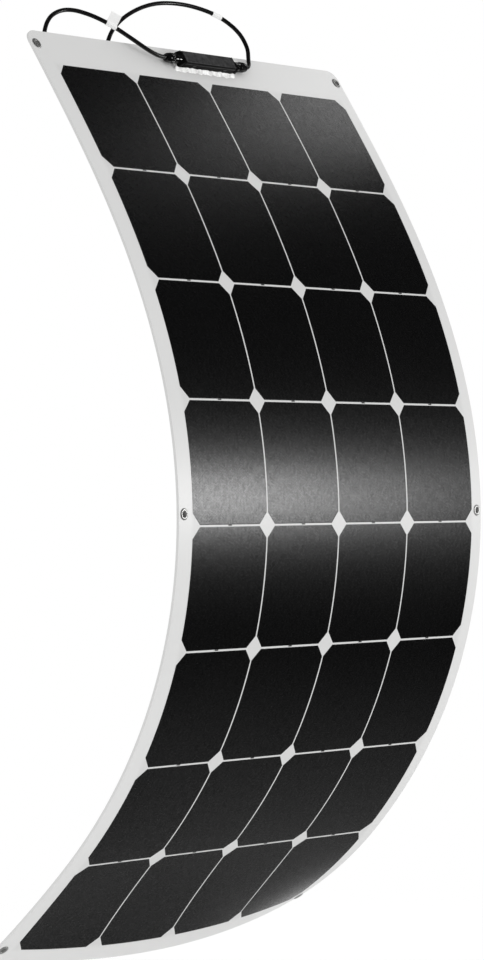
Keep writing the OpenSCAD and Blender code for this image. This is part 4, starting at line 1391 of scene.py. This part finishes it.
class SOLAR_OT_camera(bpy.types.Operator):
    """Sets the camera at the photograph's viewing angle"""

    bl_idname = "solar.camera"
    bl_label = "Camera"

    def execute(self, context):
        t = context.scene.studio
        a, e, r = t.azimuth, t.elevation, t.roll
        back = Vector((math.sin(a) * math.cos(e), -math.cos(a) * math.cos(e), math.sin(e)))
        right = Vector((0, 0, 1)).cross(back).normalized()
        up = back.cross(right)
        right, up = right * math.cos(r) + up * math.sin(r), up * math.cos(r) - right * math.sin(r)
        data = bpy.data.cameras.new("camera")
        data.lens, data.sensor_width = t.lens, 36
        data.clip_start, data.clip_end = 0.05, 100
        camera = bpy.data.objects.new("camera", data)
        context.scene.collection.objects.link(camera)
        turn = Matrix((right, up, back)).transposed().to_4x4()
        turn.translation = right * t.aim_right + up * t.aim_up + back * t.distance
        camera.matrix_world = turn
        context.scene.camera = camera
        return {"FINISHED"}


class SOLAR_OT_stage(bpy.types.Operator):
    """Sets the pale floor, the lamps and the white background"""

    bl_idname = "solar.stage"
    bl_label = "Stage"

    def execute(self, context):
        t = context.scene.studio
        context.scene.view_settings.view_transform = "Standard"
        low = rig.bounds()[0][2]
        self.floor(context, low - FLATTENED)
        self.world(context, t)
        self.lamp(
            context, "low strip", t.strip_power, size=(0.6, 0.42), at=(2.25, -2.05, 0.12), to=(0, 0, 0.03)
        )
        self.lamp(
            context, "high lamp", t.top_power, size=(0.24, 0.24), at=(1.25, 0.03, 1.12), to=(0.2, 0.15, 0.43)
        )
        return {"FINISHED"}

    def floor(self, context, height):
        """Round floor: rings of a flat disc, which is faint to the camera and fades out to its edge.
        Gloss sees it a little, and more of it further back, and nothing sees it from below."""
        radius = np.linspace(0, FLOOR_R, 12)[:, None]
        angle = np.arange(72)[None] * math.pi / 36
        middle_y = 0.12
        x, y = radius * np.cos(angle), middle_y + radius * np.sin(angle)
        grid = np.stack([x, y, np.full_like(x, height)], -1)
        f = Finish("pale floor")
        cloud = f.noise(6, 2.0)
        shade = f.node("ShaderNodeBsdfPrincipled", {}, {
            "Base Color": f.tint(context.scene.sheet_colours.floor, 0.98, 1.01, cloud), "Roughness": 0.8,
            "Specular IOR Level": 0.1, "Emission Color": (1, 1, 1, 1), "Emission Strength": 0.45,
        })
        place = f.place((1, 1, 0))
        reach = f.node("ShaderNodeVectorMath", {"operation": "LENGTH"}, {0: place}, "Value")
        depth = f.node("ShaderNodeSeparateXYZ", {}, {0: place}, 1)
        below = f.node("ShaderNodeNewGeometry", output="Backfacing")
        seen = f.node("ShaderNodeLightPath", output="Is Camera Ray")
        gloss = f.node("ShaderNodeLightPath", output="Is Glossy Ray")
        clear = f.node("ShaderNodeBsdfTransparent")
        shown = 1 - seen * 0.9 - gloss * (1 - 0.26 * depth.ramp(-0.7, 0.25))
        keep = (1 - below) * (1 - reach.ramp(0.2, FLOOR_R)) * shown
        f.output(f.node("ShaderNodeMixShader", {}, {0: keep, 1: clear, 2: shade}))
        mesh = bpy.data.meshes.new("floor")
        upwards = grid_faces(*grid.shape[:2], True)[:, ::-1]
        mesh.from_pydata(grid.reshape(-1, 3).tolist(), [], upwards.tolist())
        mesh.materials.append(f.owner)
        floor = bpy.data.objects.new("floor", mesh)
        context.scene.collection.objects.link(floor)
        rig.stage(floor)

    def world(self, context, t):
        """White where the camera looks, and behind the part where gloss or glass looks; a dim room
        elsewhere for gloss, and an even light for the rest."""
        world = bpy.data.worlds.new("studio")
        context.scene.world = world
        f = Finish("studio", world)
        camera, glossy, through = (
            f.node("ShaderNodeLightPath", output=f"Is {kind} Ray")
            for kind in ("Camera", "Glossy", "Transmission")
        )
        way = f.node("ShaderNodeTexCoord", output="Generated")
        sockets = {0: way, 1: (0.8, 0.6, 0.0)}
        back = f.node("ShaderNodeVectorMath", {"operation": "DOT_PRODUCT"}, sockets, "Value")
        sweep = back.ramp(0.8, 0.97)
        gloss = glossy.most(through)
        seen = camera + (1 - camera) * gloss * (sweep + (1 - sweep) * t.room)
        even = (1 - camera) * (1 - gloss) * t.ambient
        f.output(f.node("ShaderNodeBackground", {}, {"Color": (1, 1, 1, 1), "Strength": seen + even}))

    def lamp(self, context, name, power, size, at, to):
        """Soft rectangular lamp that looks at a point."""
        data = bpy.data.lights.new(name, "AREA")
        data.shape, data.size, data.size_y, data.energy = "RECTANGLE", *size, power
        lamp = bpy.data.objects.new(name, data)
        context.scene.collection.objects.link(lamp)
        lamp.location = at
        lamp.rotation_euler = (Vector(to) - Vector(at)).to_track_quat("-Z", "Y").to_euler()


class SOLAR_PT_panel(bpy.types.Panel):
    """Lists the steps that make the sheet"""

    bl_idname = "SOLAR_PT_panel"
    bl_label = "Solar Sheet"
    bl_space_type = "VIEW_3D"
    bl_region_type = "UI"
    bl_category = "Solar Sheet"

    def draw(self, context):
        for step in STEPS:
            self.layout.operator(step.bl_idname)


SETTINGS = {
    "sheet_sizes": SheetSizes,
    "box_sizes": BoxSizes,
    "lead_sizes": LeadSizes,
    "sheet_colours": SheetColours,
    "studio": Studio,
}
STEPS = (
    SOLAR_OT_camera,
    SOLAR_OT_connectors,
    SOLAR_OT_leads,
    SOLAR_OT_laminate,
    SOLAR_OT_cells,
    SOLAR_OT_eyelets,
    SOLAR_OT_junction_box,
    SOLAR_OT_stage,
)


def register():
    for kind in (*SETTINGS.values(), *STEPS, SOLAR_PT_panel):
        bpy.utils.register_class(kind)
    for name, kind in SETTINGS.items():
        setattr(bpy.types.Scene, name, PointerProperty(type=kind))


def unregister():
    for name in SETTINGS:
        delattr(bpy.types.Scene, name)
    for kind in reversed((*SETTINGS.values(), *STEPS, SOLAR_PT_panel)):
        bpy.utils.unregister_class(kind)


def main():
    """Makes every piece in order and writes the two boxes."""
    register()
    bpy.ops.solar.camera()
    bpy.ops.solar.connectors()
    bpy.ops.solar.leads()
    bpy.ops.solar.laminate()
    bpy.ops.solar.cells()
    bpy.ops.solar.eyelets()
    bpy.ops.solar.junction_box()
    bpy.ops.solar.stage()
    seen_box = [list(corner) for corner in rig.bounds()]
    with open("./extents.json", "w") as file:
        json.dump({"cad": cad_box, "visual": seen_box}, file)


if __name__ == "__main__":
    main()
